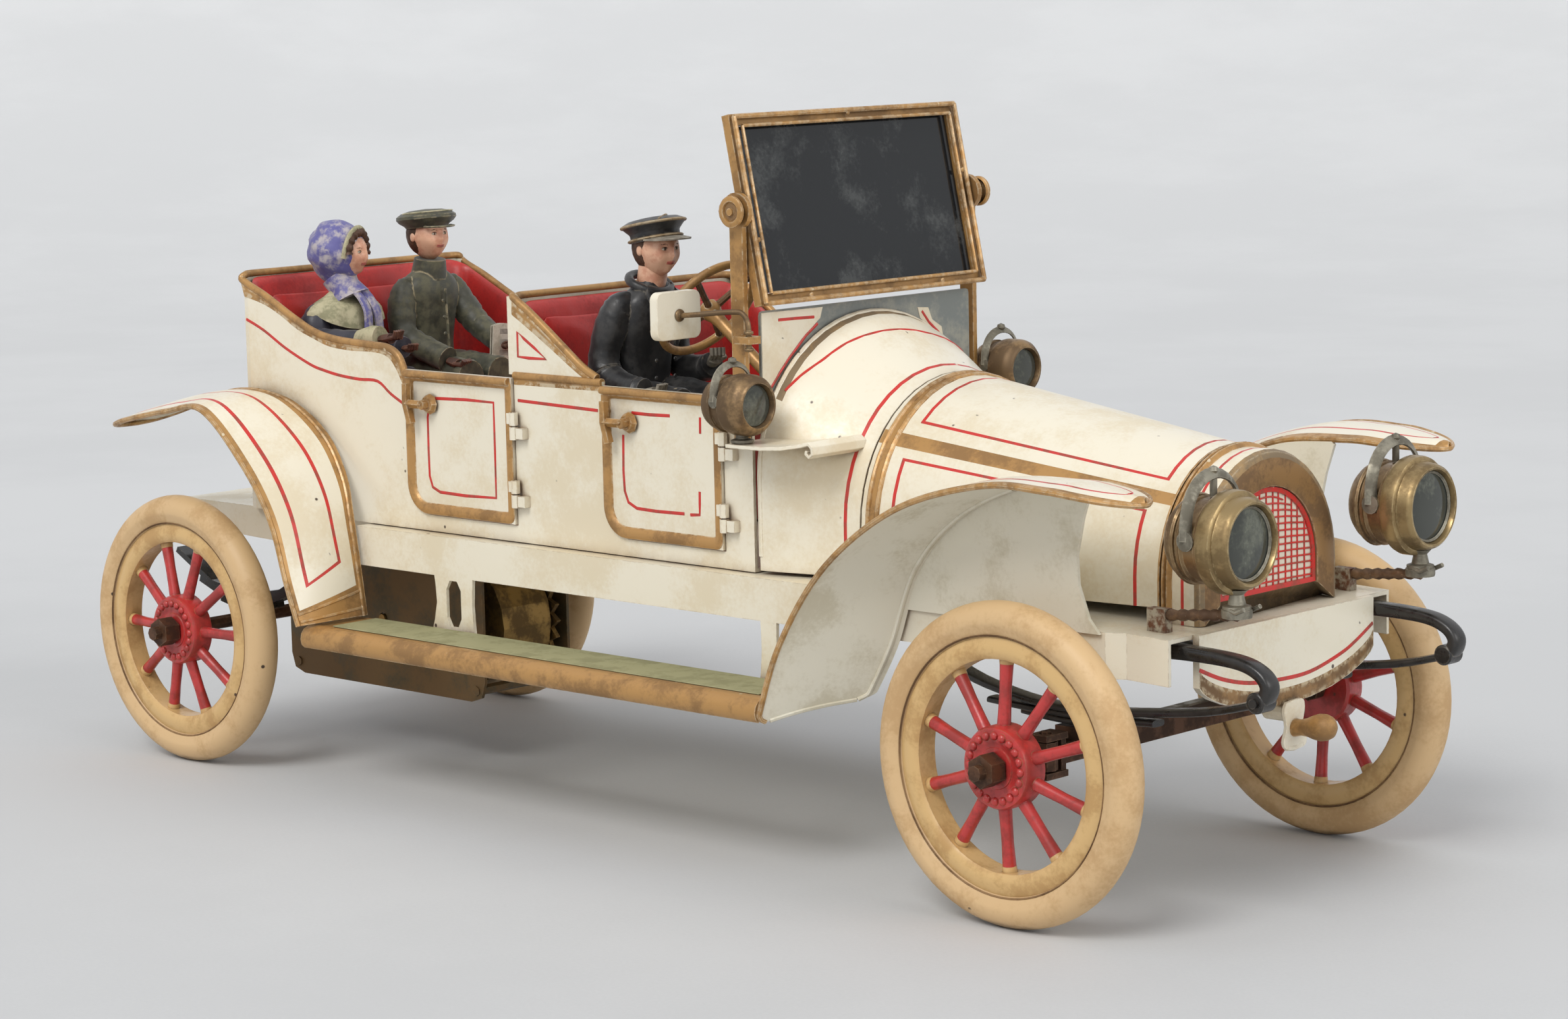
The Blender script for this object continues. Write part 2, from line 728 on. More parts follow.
def make_front_axle(steel, brown):
    x = WHEELBASE
    arm_x = x - STEERING_ARM
    half = KNUCKLE_HEIGHT / 2
    lug = half + RUNNING_GAP
    pin_top = lug + FORK_LUG + 2 * GAP
    arm_low = AXLE_Z - half
    arm_high = arm_low + ARM_THICKNESS
    arm = rounded(
        [(arm_x - 0.0024, -0.0018), (x, -0.0022), (x, 0.0022), (arm_x - 0.0024, 0.0018)], 0.0012, steps=2
    )
    arm = [(u, v - KINGPIN_Y) for u, v in arm]
    rod_low = arm_high + RUNNING_GAP
    rod_high = rod_low + ARM_THICKNESS
    knuckle = fuse(
        rod((x, -KINGPIN_Y, arm_low), (x, -KINGPIN_Y, AXLE_Z + half), KNUCKLE_RADIUS, sides=8),
        rod(
            (x, -KINGPIN_Y, AXLE_Z - pin_top), (x, -KINGPIN_Y, AXLE_Z + pin_top), KINGPIN_RADIUS, sides=6
        ),
        plate(arm, arm_low, arm_high, PLAN_PLANE),
        rod(
            (arm_x, -KINGPIN_Y, arm_low + GAP),
            (arm_x, -KINGPIN_Y, rod_high + TIN),
            0.8 * KINGPIN_RADIUS,
            sides=6,
        ),
        *axle_ends(x, KINGPIN_Y),
    )
    right = place(knuckle, "steering_knuckle_right", steel, (x, -KINGPIN_Y, AXLE_Z))
    left_copy(right, "steering_knuckle_left")

    eye = 2.2 * KINGPIN_RADIUS
    link = fuse(
        block((arm_x - 0.0014, -KINGPIN_Y, rod_low), (arm_x + 0.0014, KINGPIN_Y, rod_high)),
        rod((arm_x, -KINGPIN_Y, rod_low), (arm_x, -KINGPIN_Y, rod_high), eye, sides=8),
        rod((arm_x, KINGPIN_Y, rod_low), (arm_x, KINGPIN_Y, rod_high), eye, sides=8),
    )
    holes = []
    for y in (-KINGPIN_Y, KINGPIN_Y):
        bore = 0.8 * KINGPIN_RADIUS + 1.5 * GAP
        holes.append(rod((arm_x, y, rod_low - TIN), (arm_x, y, rod_high + TIN), bore, sides=8))
    place(cut(link, *holes), "tie_rod", steel, (arm_x, -KINGPIN_Y, rod_low))

    back = KINGPIN_Y - KNUCKLE_RADIUS - RUNNING_GAP
    seat_top = FRONT_SPRING_LOW_Z - 2.6 * LEAF - GAP
    beam = [
        block(
            (x - BEAM_DEPTH / 2, -back, AXLE_Z - BEAM_HEIGHT / 2), (
                x + BEAM_DEPTH / 2, back, AXLE_Z + BEAM_HEIGHT / 2
            )
        )
    ]
    bores = []
    for side in (-1, 1):
        y = side * KINGPIN_Y
        inner = side * (back - 0.0018)
        outer = side * (KINGPIN_Y + KNUCKLE_RADIUS)
        near = min(inner, side * back)
        far = max(inner, side * back)
        low = AXLE_Z - lug - FORK_LUG
        high = AXLE_Z + lug + FORK_LUG
        beam.append(block((x - BEAM_DEPTH / 2, near, low), (x + BEAM_DEPTH / 2, far, high)))
        near = min(inner, outer)
        far = max(inner, outer)
        for bottom in (low, AXLE_Z + lug):
            beam.append(block((x - 0.0028, near, bottom), (x + 0.0028, far, bottom + FORK_LUG)))
        bores.append(rod((x, y, low - TIN), (x, y, high + TIN), KINGPIN_RADIUS + 1.5 * GAP, sides=8))
        pad = side * SPRING_Y
        beam.append(
            block((x - 0.0040, pad - 0.0025, AXLE_Z), (x + 0.0040, pad + 0.0025, seat_top))
        )
    place(cut(fuse(*beam), *bores), "front_axle_beam", brown)


def make_springs(black):
    tip = FRONT_REACH - DUMB_IRON_BAR / 2
    top = DUMB_IRON_TOP_Z - DUMB_IRON_BAR / 2
    iron = smooth(
        [
            (CHASSIS_FRONT_X - 0.0120, top),
            (tip - 0.0230, top),
            (tip - 0.0080, top - 0.0012),
            (tip - 0.0014, top - 0.0048),
            (tip, top - 0.0088),
            (tip - 0.0026, top - 0.0124),
        ],
        2,
    )
    low = FRONT_SPRING_LOW_Z
    main = smooth(
        [
            (FRONT_SPRING_REAR_X, FRONT_SPRING_END_Z),
            (FRONT_SPRING_REAR_X + 0.0160, low + 0.0030),
            (WHEELBASE, low),
            (tip - 0.0220, low + 0.0020),
            (tip - 0.0020, top - 0.0124),
        ],
        2,
    )
    inner = -SPRING_Y + SPRING_WIDTH / 2
    outer = -SPRING_Y - SPRING_WIDTH / 2
    leaves = [plate(strap_outline(main, 1.3 * LEAF), outer, inner, SIDE_PLANE)]
    for count, half in ((1, 0.0260), (2, 0.0150)):
        drop = low - count * LEAF
        line = [(WHEELBASE - half, drop + 0.0009), (WHEELBASE, drop), (WHEELBASE + half, drop + 0.0009)]
        leaves.append(plate(strap_outline(line, 1.2 * LEAF), outer + 0.0003, inner - 0.0003, SIDE_PLANE))
    iron_piece = plate(strap_outline(iron, DUMB_IRON_BAR), outer, inner, SIDE_PLANE)
    eye = rod((tip - 0.0026, outer, top - 0.0124), (tip - 0.0026, inner, top - 0.0124), 0.0026, sides=8)
    right = place(fuse(iron_piece, *leaves, eye), "front_spring_right", black)
    left_copy(right, "front_spring_left")

    seat = AXLE_Z + AXLE_RADIUS + RUNNING_GAP
    leaves = []
    for count, half in ((0, 0.0120), (1, 0.0220), (2, REAR_SPRING_HALF)):
        middle = seat + (count + 0.6) * LEAF
        rise = (REAR_SPRING_END_Z - seat - 2.6 * LEAF) * (half / REAR_SPRING_HALF) ** 2
        line = [(half * i / 2, middle + rise * (i / 2) ** 2) for i in range(-2, 3)]
        leaves.append(plate(strap_outline(line, 1.2 * LEAF), outer, inner, SIDE_PLANE))
    right = place(fuse(*leaves), "rear_spring_right", black)
    left_copy(right, "rear_spring_left")


def make_motor(steel, brass):
    x = DRUM_X
    drum = fuse(
        rod((x, -DRUM_HALF_WIDTH, AXLE_Z), (x, DRUM_HALF_WIDTH, AXLE_Z), DRUM_RADIUS, sides=20),
        rod((x, 0.0, AXLE_Z), (x, GREAT_WHEEL_Y, AXLE_Z), 0.4 * DRUM_RADIUS, sides=8),
        gear(GREAT_TEETH, x, GREAT_WHEEL_Y, gap_facing_back(GREAT_TEETH)),
        rod((x, -PLATE_Y - 0.0015, AXLE_Z), (x, PLATE_Y + 0.0015, AXLE_Z), ARBOR_RADIUS, sides=8),
        rod((x, PLATE_Y, AXLE_Z), (x, PLATE_Y + 0.0070, AXLE_Z), 0.9 * ARBOR_RADIUS, sides=4),
    )
    place(drum, "spring_drum", brass, (x, 0.0, AXLE_Z))

    x = FIRST_ARBOR_X
    first = fuse(
        rod((x, -PLATE_Y - 0.0012, AXLE_Z), (x, PLATE_Y + 0.0012, AXLE_Z), ARBOR_RADIUS, sides=8),
        gear(FIRST_PINION_TEETH, x, GREAT_WHEEL_Y, 0.0),
        gear(FIRST_WHEEL_TEETH, x, FIRST_WHEEL_Y, gap_facing_back(FIRST_WHEEL_TEETH)),
    )
    place(first, "first_gear", brass, (x, 0.0, AXLE_Z))

    x = SECOND_ARBOR_X
    second = fuse(
        rod((x, -PLATE_Y - 0.0012, AXLE_Z), (x, PLATE_Y + 0.0012, AXLE_Z), ARBOR_RADIUS, sides=8),
        gear(SECOND_PINION_TEETH, x, FIRST_WHEEL_Y, 0.0),
        gear(SECOND_WHEEL_TEETH, x, SECOND_WHEEL_Y, gap_facing_back(SECOND_WHEEL_TEETH)),
    )
    place(second, "second_gear", brass, (x, 0.0, AXLE_Z))

    top = CHASSIS_TOP - PAN_SKIN - GAP
    corners = [
        (PLATE_REAR_X, PLATE_BOTTOM_Z),
        (PLATE_FRONT_X, PLATE_BOTTOM_Z),
        (PLATE_FRONT_X, top),
        (PLATE_REAR_X, top),
    ]
    outline = rounded(corners, PLATE_CORNER_RADIUS, steps=2)
    pillars = []
    for u in (PLATE_REAR_X + PILLAR_INSET, PLATE_FRONT_X - PILLAR_INSET):
        for v in (PLATE_BOTTOM_Z + PILLAR_INSET, CHASSIS_BOTTOM - PILLAR_INSET):
            pillars.append(rod((u, -PLATE_Y - TIN, v), (u, PLATE_Y + TIN, v), PILLAR_RADIUS, sides=6))
    cheeks = []
    for y in (-PLATE_Y, PLATE_Y):
        cheeks.append(plate(outline, y - TIN / 2, y + TIN / 2, SIDE_PLANE))
    bores = []
    for x, radius in (
        (0.0, AXLE_RADIUS),
        (SECOND_ARBOR_X, ARBOR_RADIUS),
        (FIRST_ARBOR_X, ARBOR_RADIUS),
        (DRUM_X, ARBOR_RADIUS),
    ):
        reach = PLATE_Y + 2 * TIN
        bores.append(rod((x, -reach, AXLE_Z), (x, reach, AXLE_Z), radius + 1.6 * GAP, sides=8))
    place(cut(fuse(*cheeks, *pillars), *bores), "motor_frame", steel)


def chassis_side(inset, drop, ahead):
    """The chassis pan seen from the side; the inset, the drop and the reach ahead give its inside."""
    return [
        (CHASSIS_REAR_END + inset, CHASSIS_BOTTOM + 0.0030 - drop),
        (CHASSIS_STEP_X, CHASSIS_BOTTOM - drop),
        (CHASSIS_SLOPE_X, CHASSIS_BOTTOM - drop),
        (CHASSIS_FRONT_X + ahead, CHASSIS_FRONT_BOTTOM - drop),
        (CHASSIS_FRONT_X + ahead, CHASSIS_FRONT_TOP - inset),
        (CHASSIS_SLOPE_X, CHASSIS_TOP - inset),
        (CHASSIS_REAR_END + inset, CHASSIS_TOP - inset),
    ]


def chassis_plan(inset):
    right = [
        (CHASSIS_REAR_END + inset, -CHASSIS_REAR_HALF_WIDTH + inset),
        (CHASSIS_STEP_X + inset, -CHASSIS_REAR_HALF_WIDTH + inset),
        (CHASSIS_STEP_X + inset, -CHASSIS_HALF_WIDTH + inset),
        (CHASSIS_NARROW_X, -CHASSIS_HALF_WIDTH + inset),
        (CHASSIS_NARROW_X + 0.0040, -CHASSIS_FRONT_HALF_WIDTH + inset),
        (CHASSIS_FRONT_X + 6 * inset, -CHASSIS_FRONT_HALF_WIDTH + inset),
    ]
    return right + [(x, -y) for x, y in reversed(right)]


def board_bracket(x, width, slotted):
    top = CHASSIS_BOTTOM + 0.0022
    foot = BOARD_TOP_Z - BOARD_THICKNESS - GAP - TIN
    waist = (top + foot) / 2
    half = width / 2
    outline = smooth([(x - half, top), (x - 0.86 * half, waist), (x - 1.15 * half, foot + TIN)], 2)
    outline += smooth([(x + half, foot + TIN), (x + 0.92 * half, waist), (x + half, top)], 2)
    slot = []
    if slotted:
        bend = 0.36 * half
        slot = [arc((x, waist + 0.0040), bend, 0, 180, 3) + arc((x, waist - 0.0040), bend, 180, 360, 3)]
    outer = CHASSIS_HALF_WIDTH
    web = plate(outline, -outer, -outer + TIN, SIDE_PLANE, slot)
    shelf = block((x - half, -outer - 0.0100, foot), (x + half, -outer + TIN, foot + TIN))
    return fuse(web, shelf)


def lamp_bracket():
    x = HEADLAMP_X - 0.0274
    z = CHASSIS_FRONT_TOP + 0.0035
    pad_top = lamp_pad_z()
    y = -HEADLAMP_Y - 0.0005
    pad_x = HEADLAMP_X - 0.0045
    return (
        block(
            (x - 0.0024, y - 0.0012, CHASSIS_FRONT_TOP - TIN / 2), (x + 0.0024, y + 0.0012, z + 0.0022)
        ),
        rod((x, y, z + 0.0008), (pad_x, y, pad_top - 0.0014), 0.0011, sides=6),
        rod((pad_x, y, pad_top - 0.0016), (pad_x, y, pad_top), 0.0034, sides=10),
    )


def lamp_pad_z():
    return HEADLAMP_Z - HEADLAMP_RADIUS - 0.0034


def make_chassis(cream):
    wide = CHASSIS_HALF_WIDTH + 0.0050
    low = APRON_LOW_Z
    high = CHASSIS_TOP + TIN
    shell = common(
        plate(chassis_side(0.0, 0.0, TIN), -wide, wide, SIDE_PLANE),
        plate(chassis_plan(0.0), low, high, PLAN_PLANE),
    )
    inside = common(
        plate(chassis_side(PAN_SKIN, 0.0100, 4 * TIN), -wide, wide, SIDE_PLANE),
        plate(chassis_plan(TIN), low, high, PLAN_PLANE),
    )
    pan = combine(shell, [inside], "DIFFERENCE")
    details = []
    for name, x in (("rear", REAR_BRACKET_X), ("front", FRONT_BRACKET_X)):
        width = 0.0168 if name == "rear" else 0.0060
        details.append(board_bracket(x, width, name == "rear"))
    details.extend(lamp_bracket())
    hang_z = FRONT_SPRING_END_Z + LEAF + GAP
    hang_x = FRONT_SPRING_REAR_X
    details.append(
        block(
            (hang_x - 0.0025, -SPRING_Y - 0.0020, hang_z),
            (hang_x + 0.0040, -SPRING_Y + 0.0020, CHASSIS_TOP - TIN),
        )
    )
    for x in (-REAR_SPRING_HALF + 0.0055, REAR_SPRING_HALF - 0.0035):
        top = CHASSIS_TOP - TIN
        low = REAR_SPRING_END_Z + 0.6 * LEAF + GAP
        details.append(
            block((x - 0.0020, -SPRING_Y - 0.0009, low), (x + 0.0020, -SPRING_Y + 0.0020, top))
        )
    details.extend([mirror_of(piece) for piece in details])
    curve = [(APRON_HALF_WIDTH * math.cos(a), a) for a in (math.pi * i / 12 for i in range(13))]
    skirt = [(y, APRON_END_Z - (APRON_END_Z - APRON_LOW_Z) * math.sin(a) ** 1.4) for y, a in curve]
    skirt = [(APRON_HALF_WIDTH, CHASSIS_FRONT_TOP), *skirt, (-APRON_HALF_WIDTH, CHASSIS_FRONT_TOP)]
    apron = plate(skirt, APRON_X - 1.9 * TIN, APRON_X, CROSS_PLANE)
    lip = block(
        (CHASSIS_FRONT_X - 0.0020, -APRON_HALF_WIDTH, CHASSIS_FRONT_TOP - PAN_SKIN),
        (APRON_X - TIN, APRON_HALF_WIDTH, CHASSIS_FRONT_TOP),
    )
    bearing = rod((APRON_X - 0.0064, 0.0, CRANK_Z), (APRON_X - 0.0004, 0.0, CRANK_Z), 0.0027, sides=14)
    pan = fuse(pan, apron, lip, bearing, *details)
    bore = rod(
        (APRON_X - 0.0100, 0.0, CRANK_Z),
        (APRON_X + 0.0100, 0.0, CRANK_Z),
        CRANK_SHAFT_RADIUS + GAP,
        sides=12,
    )
    place(cut(pan, bore), "chassis_frame", cream)


def make_crank(gold):
    back = APRON_X + RUNNING_GAP
    front = back + TIN
    grip_z = CRANK_Z - CRANK_THROW
    web = rounded(
        [
            (-0.0034, grip_z - 0.0050),
            (0.0034, grip_z - 0.0050),
            (0.0026, CRANK_Z + 0.0026),
            (-0.0026, CRANK_Z + 0.0026),
        ],
        0.0018,
        steps=2,
    )
    bulge = CRANK_GRIP_RADIUS
    profile = [
        (0.0, 0.0),
        (0.0, 0.7 * bulge),
        (0.0040, 0.75 * bulge),
        (0.0066, bulge),
        (0.0092, 0.92 * bulge),
        (CRANK_GRIP_LENGTH - 0.0004, 0.45 * bulge),
        (CRANK_GRIP_LENGTH, 0.0),
    ]
    crank = fuse(
        plate(web, back, front, CROSS_PLANE),
        rod(
            (APRON_X - 0.0090, 0.0, CRANK_Z), (back + TIN / 2, 0.0, CRANK_Z), CRANK_SHAFT_RADIUS, sides=12
        ),
        turned(profile, (front - TIN / 2, 0.0, grip_z), (1, 0, 0.12), steps=10),
    )
    place(crank, "starting_crank", gold, (back, 0.0, CRANK_Z))


def rear_rim(lower):
    """The swept rim beside the rear seat, lowered by a distance."""
    fall = BACK_RIM_Z - RAIL_Z
    shares = ((0.0836, 0.130), (0.3210, 0.489), (0.5517, 0.736), (0.8913, 0.792))
    return [(BODY_REAR_X + run * REAR_PANEL, BACK_RIM_Z - lower - drop * fall) for run, drop in shares]


def front_rim(lower):
    """The swept rim beside the front seat, lowered by a distance."""
    length = FRONT_DOOR_X - PARTITION_X
    fall = MID_RIM_Z - RAIL_Z
    shares = ((0.4187, 0.435), (0.7333, 0.8056), (0.9227, 0.963))
    return [(PARTITION_X + run * length, MID_RIM_Z - lower - drop * fall) for run, drop in shares]


def body_side():
    """The body seen from the side, with its two door openings and both swept seat sides."""
    rear_gap = REAR_DOOR_X - GAP
    front_gap = FRONT_DOOR_X - GAP
    low = SILL_Z - GAP
    corner = DOOR_CORNER_RADIUS
    rear_sweep = smooth(
        [
            (BODY_REAR_X - TIN, BACK_RIM_Z),
            (BODY_REAR_X, BACK_RIM_Z),
            *rear_rim(0.0),
            (BODY_REAR_X + 0.9576 * REAR_PANEL, RAIL_Z + 0.0008),
            (rear_gap, RAIL_Z - 0.0064),
        ],
        2,
    )
    front_sweep = smooth([(PARTITION_X + 0.0020, MID_RIM_Z), *front_rim(0.0)], 2)
    outline = [(BODY_REAR_X - TIN, FLOOR_Z), *rear_sweep]
    outline += arc((rear_gap + corner, low + corner), corner, 180, 270, 3)
    outline += [(REAR_DOOR_END + GAP, low), (REAR_DOOR_END + GAP, RAIL_Z), (PARTITION_X, RAIL_Z)]
    outline += [(PARTITION_X, MID_RIM_Z), *front_sweep, (front_gap, RAIL_Z)]
    outline += arc((front_gap + corner, low + corner), corner, 180, 270, 3)
    outline += [(FRONT_DOOR_END + GAP, low), (FRONT_DOOR_END + GAP, RAIL_Z)]
    outline += [(BODY_FRONT_X, RAIL_Z), (BODY_FRONT_X, FLOOR_Z)]
    return outline


def rounded_plan(rear, front, half_width, radius):
    right = arc((rear + radius, -half_width + radius), radius, 180, 270, 3)
    return [*right, (front, -half_width), (front, half_width), *[(x, -y) for x, y in reversed(right)]]


def hinge_half(x, low, high, leaf_front, leaf_rear, y_body):
    """A hinge barrel with the leaf that carries it, on the outside of the right-hand body side."""
    barrel = rod((x, -HINGE_Y, low), (x, -HINGE_Y, high), HINGE_RADIUS, sides=6)
    leaf = block((leaf_rear, -HINGE_Y - HINGE_RADIUS / 3, low + GAP), (leaf_front, -y_body, high - GAP))
    return fuse(barrel, leaf)


def make_body(cream):
    wide = BODY_HALF_WIDTH + 0.0010
    shell = common(
        plate(body_side(), -wide, wide, SIDE_PLANE),
        plate(
            rounded_plan(BODY_REAR_X, BODY_FRONT_X + TIN, BODY_HALF_WIDTH, BODY_CORNER_RADIUS),
            0.0,
            CUT_TOP_Z,
            PLAN_PLANE,
        ),
    )
    inner = BODY_HALF_WIDTH - TIN
    floor = FLOOR_Z + TIN
    rear_plan = rounded_plan(BODY_REAR_X + TIN, PARTITION_X + GAP, inner, BODY_CORNER_RADIUS - TIN)
    rear_room = plate(rear_plan, floor, CUT_TOP_Z, PLAN_PLANE)
    front_room = block(
        (PARTITION_X + 1.6 * TIN, -inner, floor), (BODY_FRONT_X + 2 * TIN, inner, CUT_TOP_Z)
    )
    shell = combine(shell, [rear_room, front_room], "DIFFERENCE")
    half_hinge = (HINGE_LENGTH - RUNNING_GAP) / 2
    hinges = []
    for end in (REAR_DOOR_END, FRONT_DOOR_END):
        x = end + HINGE_SETBACK
        for low in (HINGE_LOW_Z, HINGE_HIGH_Z):
            leaf = x + 0.0040
            hinges.append(hinge_half(x, low, low + half_hinge, leaf, x, BODY_HALF_WIDTH - TIN / 2))
            hinges.append(
                rod(
                    (x, -HINGE_Y, low + GAP), (x, -HINGE_Y, low + HINGE_LENGTH), HINGE_PIN_RADIUS, sides=5
                )
            )
    hinges.extend([mirror_of(piece) for piece in hinges])
    place(fuse(shell, *hinges), "body_tub", cream)


def door_outline(rear):
    corner = DOOR_CORNER_RADIUS
    front = rear + DOOR_LENGTH
    foot = arc((rear + corner, SILL_Z + corner), corner, 180, 270, 3)
    return [*foot, (front, SILL_Z), (front, DOOR_TOP_Z), (rear, DOOR_TOP_Z)]


def make_door(name, rear, cream, gold):
    outer = BODY_HALF_WIDTH + DOOR_STAND_OUT
    outline = door_outline(rear)
    panel = plate(outline, -outer, -outer + DOOR_THICKNESS, SIDE_PLANE)
    inner_frame = [(u, v) for u, v in inset_outline(outline, 2.2 * BEAD_RADIUS)]
    bead = plate(
        outline, -outer - BEAD_RADIUS / 2, -outer + DOOR_THICKNESS / 2, SIDE_PLANE, [inner_frame]
    )
    x = rear + DOOR_LENGTH + HINGE_SETBACK
    half_hinge = (HINGE_LENGTH - RUNNING_GAP) / 2
    pieces = [panel, bead]
    bores = []
    for low in (HINGE_LOW_Z, HINGE_HIGH_Z):
        bottom = low + half_hinge + RUNNING_GAP
        top = low + HINGE_LENGTH
        pieces.append(hinge_half(x, bottom, top, x, x - 0.0025, outer + GAP / 3))
        bores.append(
            rod(
                (x, -HINGE_Y, bottom - TIN),
                (x, -HINGE_Y, top + TIN),
                HINGE_PIN_RADIUS + RUNNING_GAP,
                sides=8,
            ),
        )
    handle_x = rear + HANDLE_INSET
    handle_z = DOOR_TOP_Z - HANDLE_DROP
    inside = -outer + DOOR_THICKNESS + TIN
    bores.append(
        rod(
            (handle_x, -outer - TIN, handle_z),
            (handle_x, inside, handle_z),
            AXLE_RADIUS / 2 + 1.5 * GAP,
            sides=8,
        )
    )
    axis = (x, -HINGE_Y, SILL_Z)
    right = place(cut(fuse(*pieces), *bores), f"{name}_door_right", cream, axis)
    left_copy(right, f"{name}_door_left")

    face = -outer - BEAD_RADIUS / 2 - GAP
    disc_top = face - 0.0014
    bar_x = handle_x - 0.0066
    handle = fuse(
        rod((handle_x, inside, handle_z), (handle_x, disc_top, handle_z), AXLE_RADIUS / 2, sides=6),
        rod((handle_x, face, handle_z), (handle_x, disc_top, handle_z), 0.0030, 0.0022, sides=8),
        rod(
            (handle_x, disc_top + GAP, handle_z), (handle_x, disc_top - 0.0022, handle_z), 0.0014, sides=6
        ),
        wire(
            [
                (handle_x, disc_top - 0.0014, handle_z),
                (bar_x, disc_top - 0.0016, handle_z),
            ],
            0.0012,
            0,
        ),
        wire(
            [
                (bar_x - 0.0006, disc_top - 0.0010, handle_z + 0.0056),
                (bar_x, disc_top - 0.0016, handle_z),
                (bar_x + 0.0010, disc_top - 0.0010, handle_z - 0.0056),
            ],
            0.0013,
            0,
        ),
        rod((handle_x, inside - GAP, handle_z), (handle_x, inside + 0.0008, handle_z), 0.0020, sides=6),
    )
    right = place(handle, f"{name}_handle_right", gold, (handle_x, face, handle_z))
    left_copy(right, f"{name}_handle_left")


def inset_outline(outline, distance):
    """The outline moved inwards by a distance, corner by corner."""
    moved = []
    count = len(outline)
    for i, corner in enumerate(outline):
        before = (Vector(corner) - Vector(outline[i - 1])).normalized()
        after = (Vector(outline[(i + 1) % count]) - Vector(corner)).normalized()
        first = Vector((-before.y, before.x))
        second = Vector((-after.y, after.x))
        bisector = (first + second).normalized()
        reach = distance / max(bisector.dot(first), 0.5)
        moved.append(tuple(Vector(corner) + bisector * reach))
    return moved


def stuffed(low, high, crown, tuck, along=6, across=8):
    """A stuffed pad: flat below, its sides drawn in between the corners and its top crowned."""
    low = Vector(low)
    high = Vector(high)
    middle = (low + high) / 2
    half = (high - low) / 2
    bm = bmesh.new()
    grid = []
    for i in range(along + 1):
        u = 2 * i / along - 1
        row = []
        for j in range(across + 1):
            v = 2 * j / across - 1
            x = middle.x + u * (half.x - tuck * (1 - v * v) * abs(u) ** 3)
            y = middle.y + v * (half.y - tuck * (1 - u * u) * abs(v) ** 3)
            row.append(bm.verts.new((x, y, high.z + crown * (1 - u**4) * (1 - v**4))))
        grid.append(row)
    for first, second in zip(grid, grid[1:]):
        for a, b, c, d in zip(first, first[1:], second[1:], second):
            bm.faces.new((a, b, c, d))
    rim = grid[0][:-1] + [row[-1] for row in grid[:-1]] + grid[-1][:0:-1] + [
        row[0] for row in grid[:0:-1]
    ]
    foot = [bm.verts.new((vert.co.x, vert.co.y, low.z)) for vert in rim]
    for i, vert in enumerate(rim):
        after = (i + 1) % len(rim)
        bm.faces.new((vert, rim[after], foot[after], foot[i]))
    bm.faces.new(foot)
    return solid_from(bm)


def squab(back_x, half_width, low, high):
    """The stuffed pad of a seat's back, bulging forwards from the plane x = back_x."""
    pad = stuffed((-high, -half_width, -TIN), (-low, half_width, 0.0), SQUAB_BULGE, CUSHION_TUCK)
    pad.data.transform(Matrix.Translation((back_x, 0.0, 0.0)) @ Matrix.Rotation(math.pi / 2, 4, "Y"))
    return pad


def cushion(rear, front, half_width, top):
    low = (rear, -half_width, top - CUSHION_SKIN / 2)
    return stuffed(low, (front, half_width, top + CUSHION_EDGE), CUSHION_CROWN, CUSHION_TUCK)


def make_rear_seat(red):
    half = BODY_HALF_WIDTH - TIN - GAP
    rear = BODY_REAR_X + TIN + GAP
    floor = FLOOR_Z + TIN + GAP
    side = smooth([(rear, BACK_RIM_Z - TIN), *rear_rim(TIN)], 2)
    end = REAR_DOOR_X - 4 * GAP
    outline = [
        (rear - TIN, floor), (rear - TIN, BACK_RIM_Z - TIN), *side, (end, RAIL_Z - 0.0064), (end, floor)
    ]
    shell = common(
        plate(outline, -half - TIN, half + TIN, SIDE_PLANE),
        plate(rounded_plan(rear, end + TIN, half, BODY_CORNER_RADIUS - TIN), 0.0, CUT_TOP_Z, PLAN_PLANE),
    )
    inside = half - LINING
    room = rounded_plan(rear + BACK_PADDING, end + TIN, inside, 2 * BODY_CORNER_RADIUS)
    above = plate(room, REAR_CUSHION_Z, CUT_TOP_Z, PLAN_PLANE)
    well = block((REAR_CUSHION_FRONT, -inside, floor - TIN), (end + TIN, inside, REAR_CUSHION_Z + TIN))
    under = block(
        (rear + BACK_PADDING, -inside, floor - TIN), (
            REAR_CUSHION_FRONT - LINING, inside, REAR_CUSHION_Z - CUSHION_SKIN
        )
    )
    shell = combine(shell, [above, well, under], "DIFFERENCE")
    back = rear + BACK_PADDING
    low = REAR_CUSHION_Z + SQUAB_MARGIN
    pads = [
        cushion(back - TIN, REAR_CUSHION_FRONT + CUSHION_LIP, inside + CUSHION_TUCK / 2, REAR_CUSHION_Z),
        squab(back, inside - SQUAB_MARGIN, low, BACK_RIM_Z - SQUAB_MARGIN),
    ]
    place(fuse(shell, *pads), "rear_seat", red)


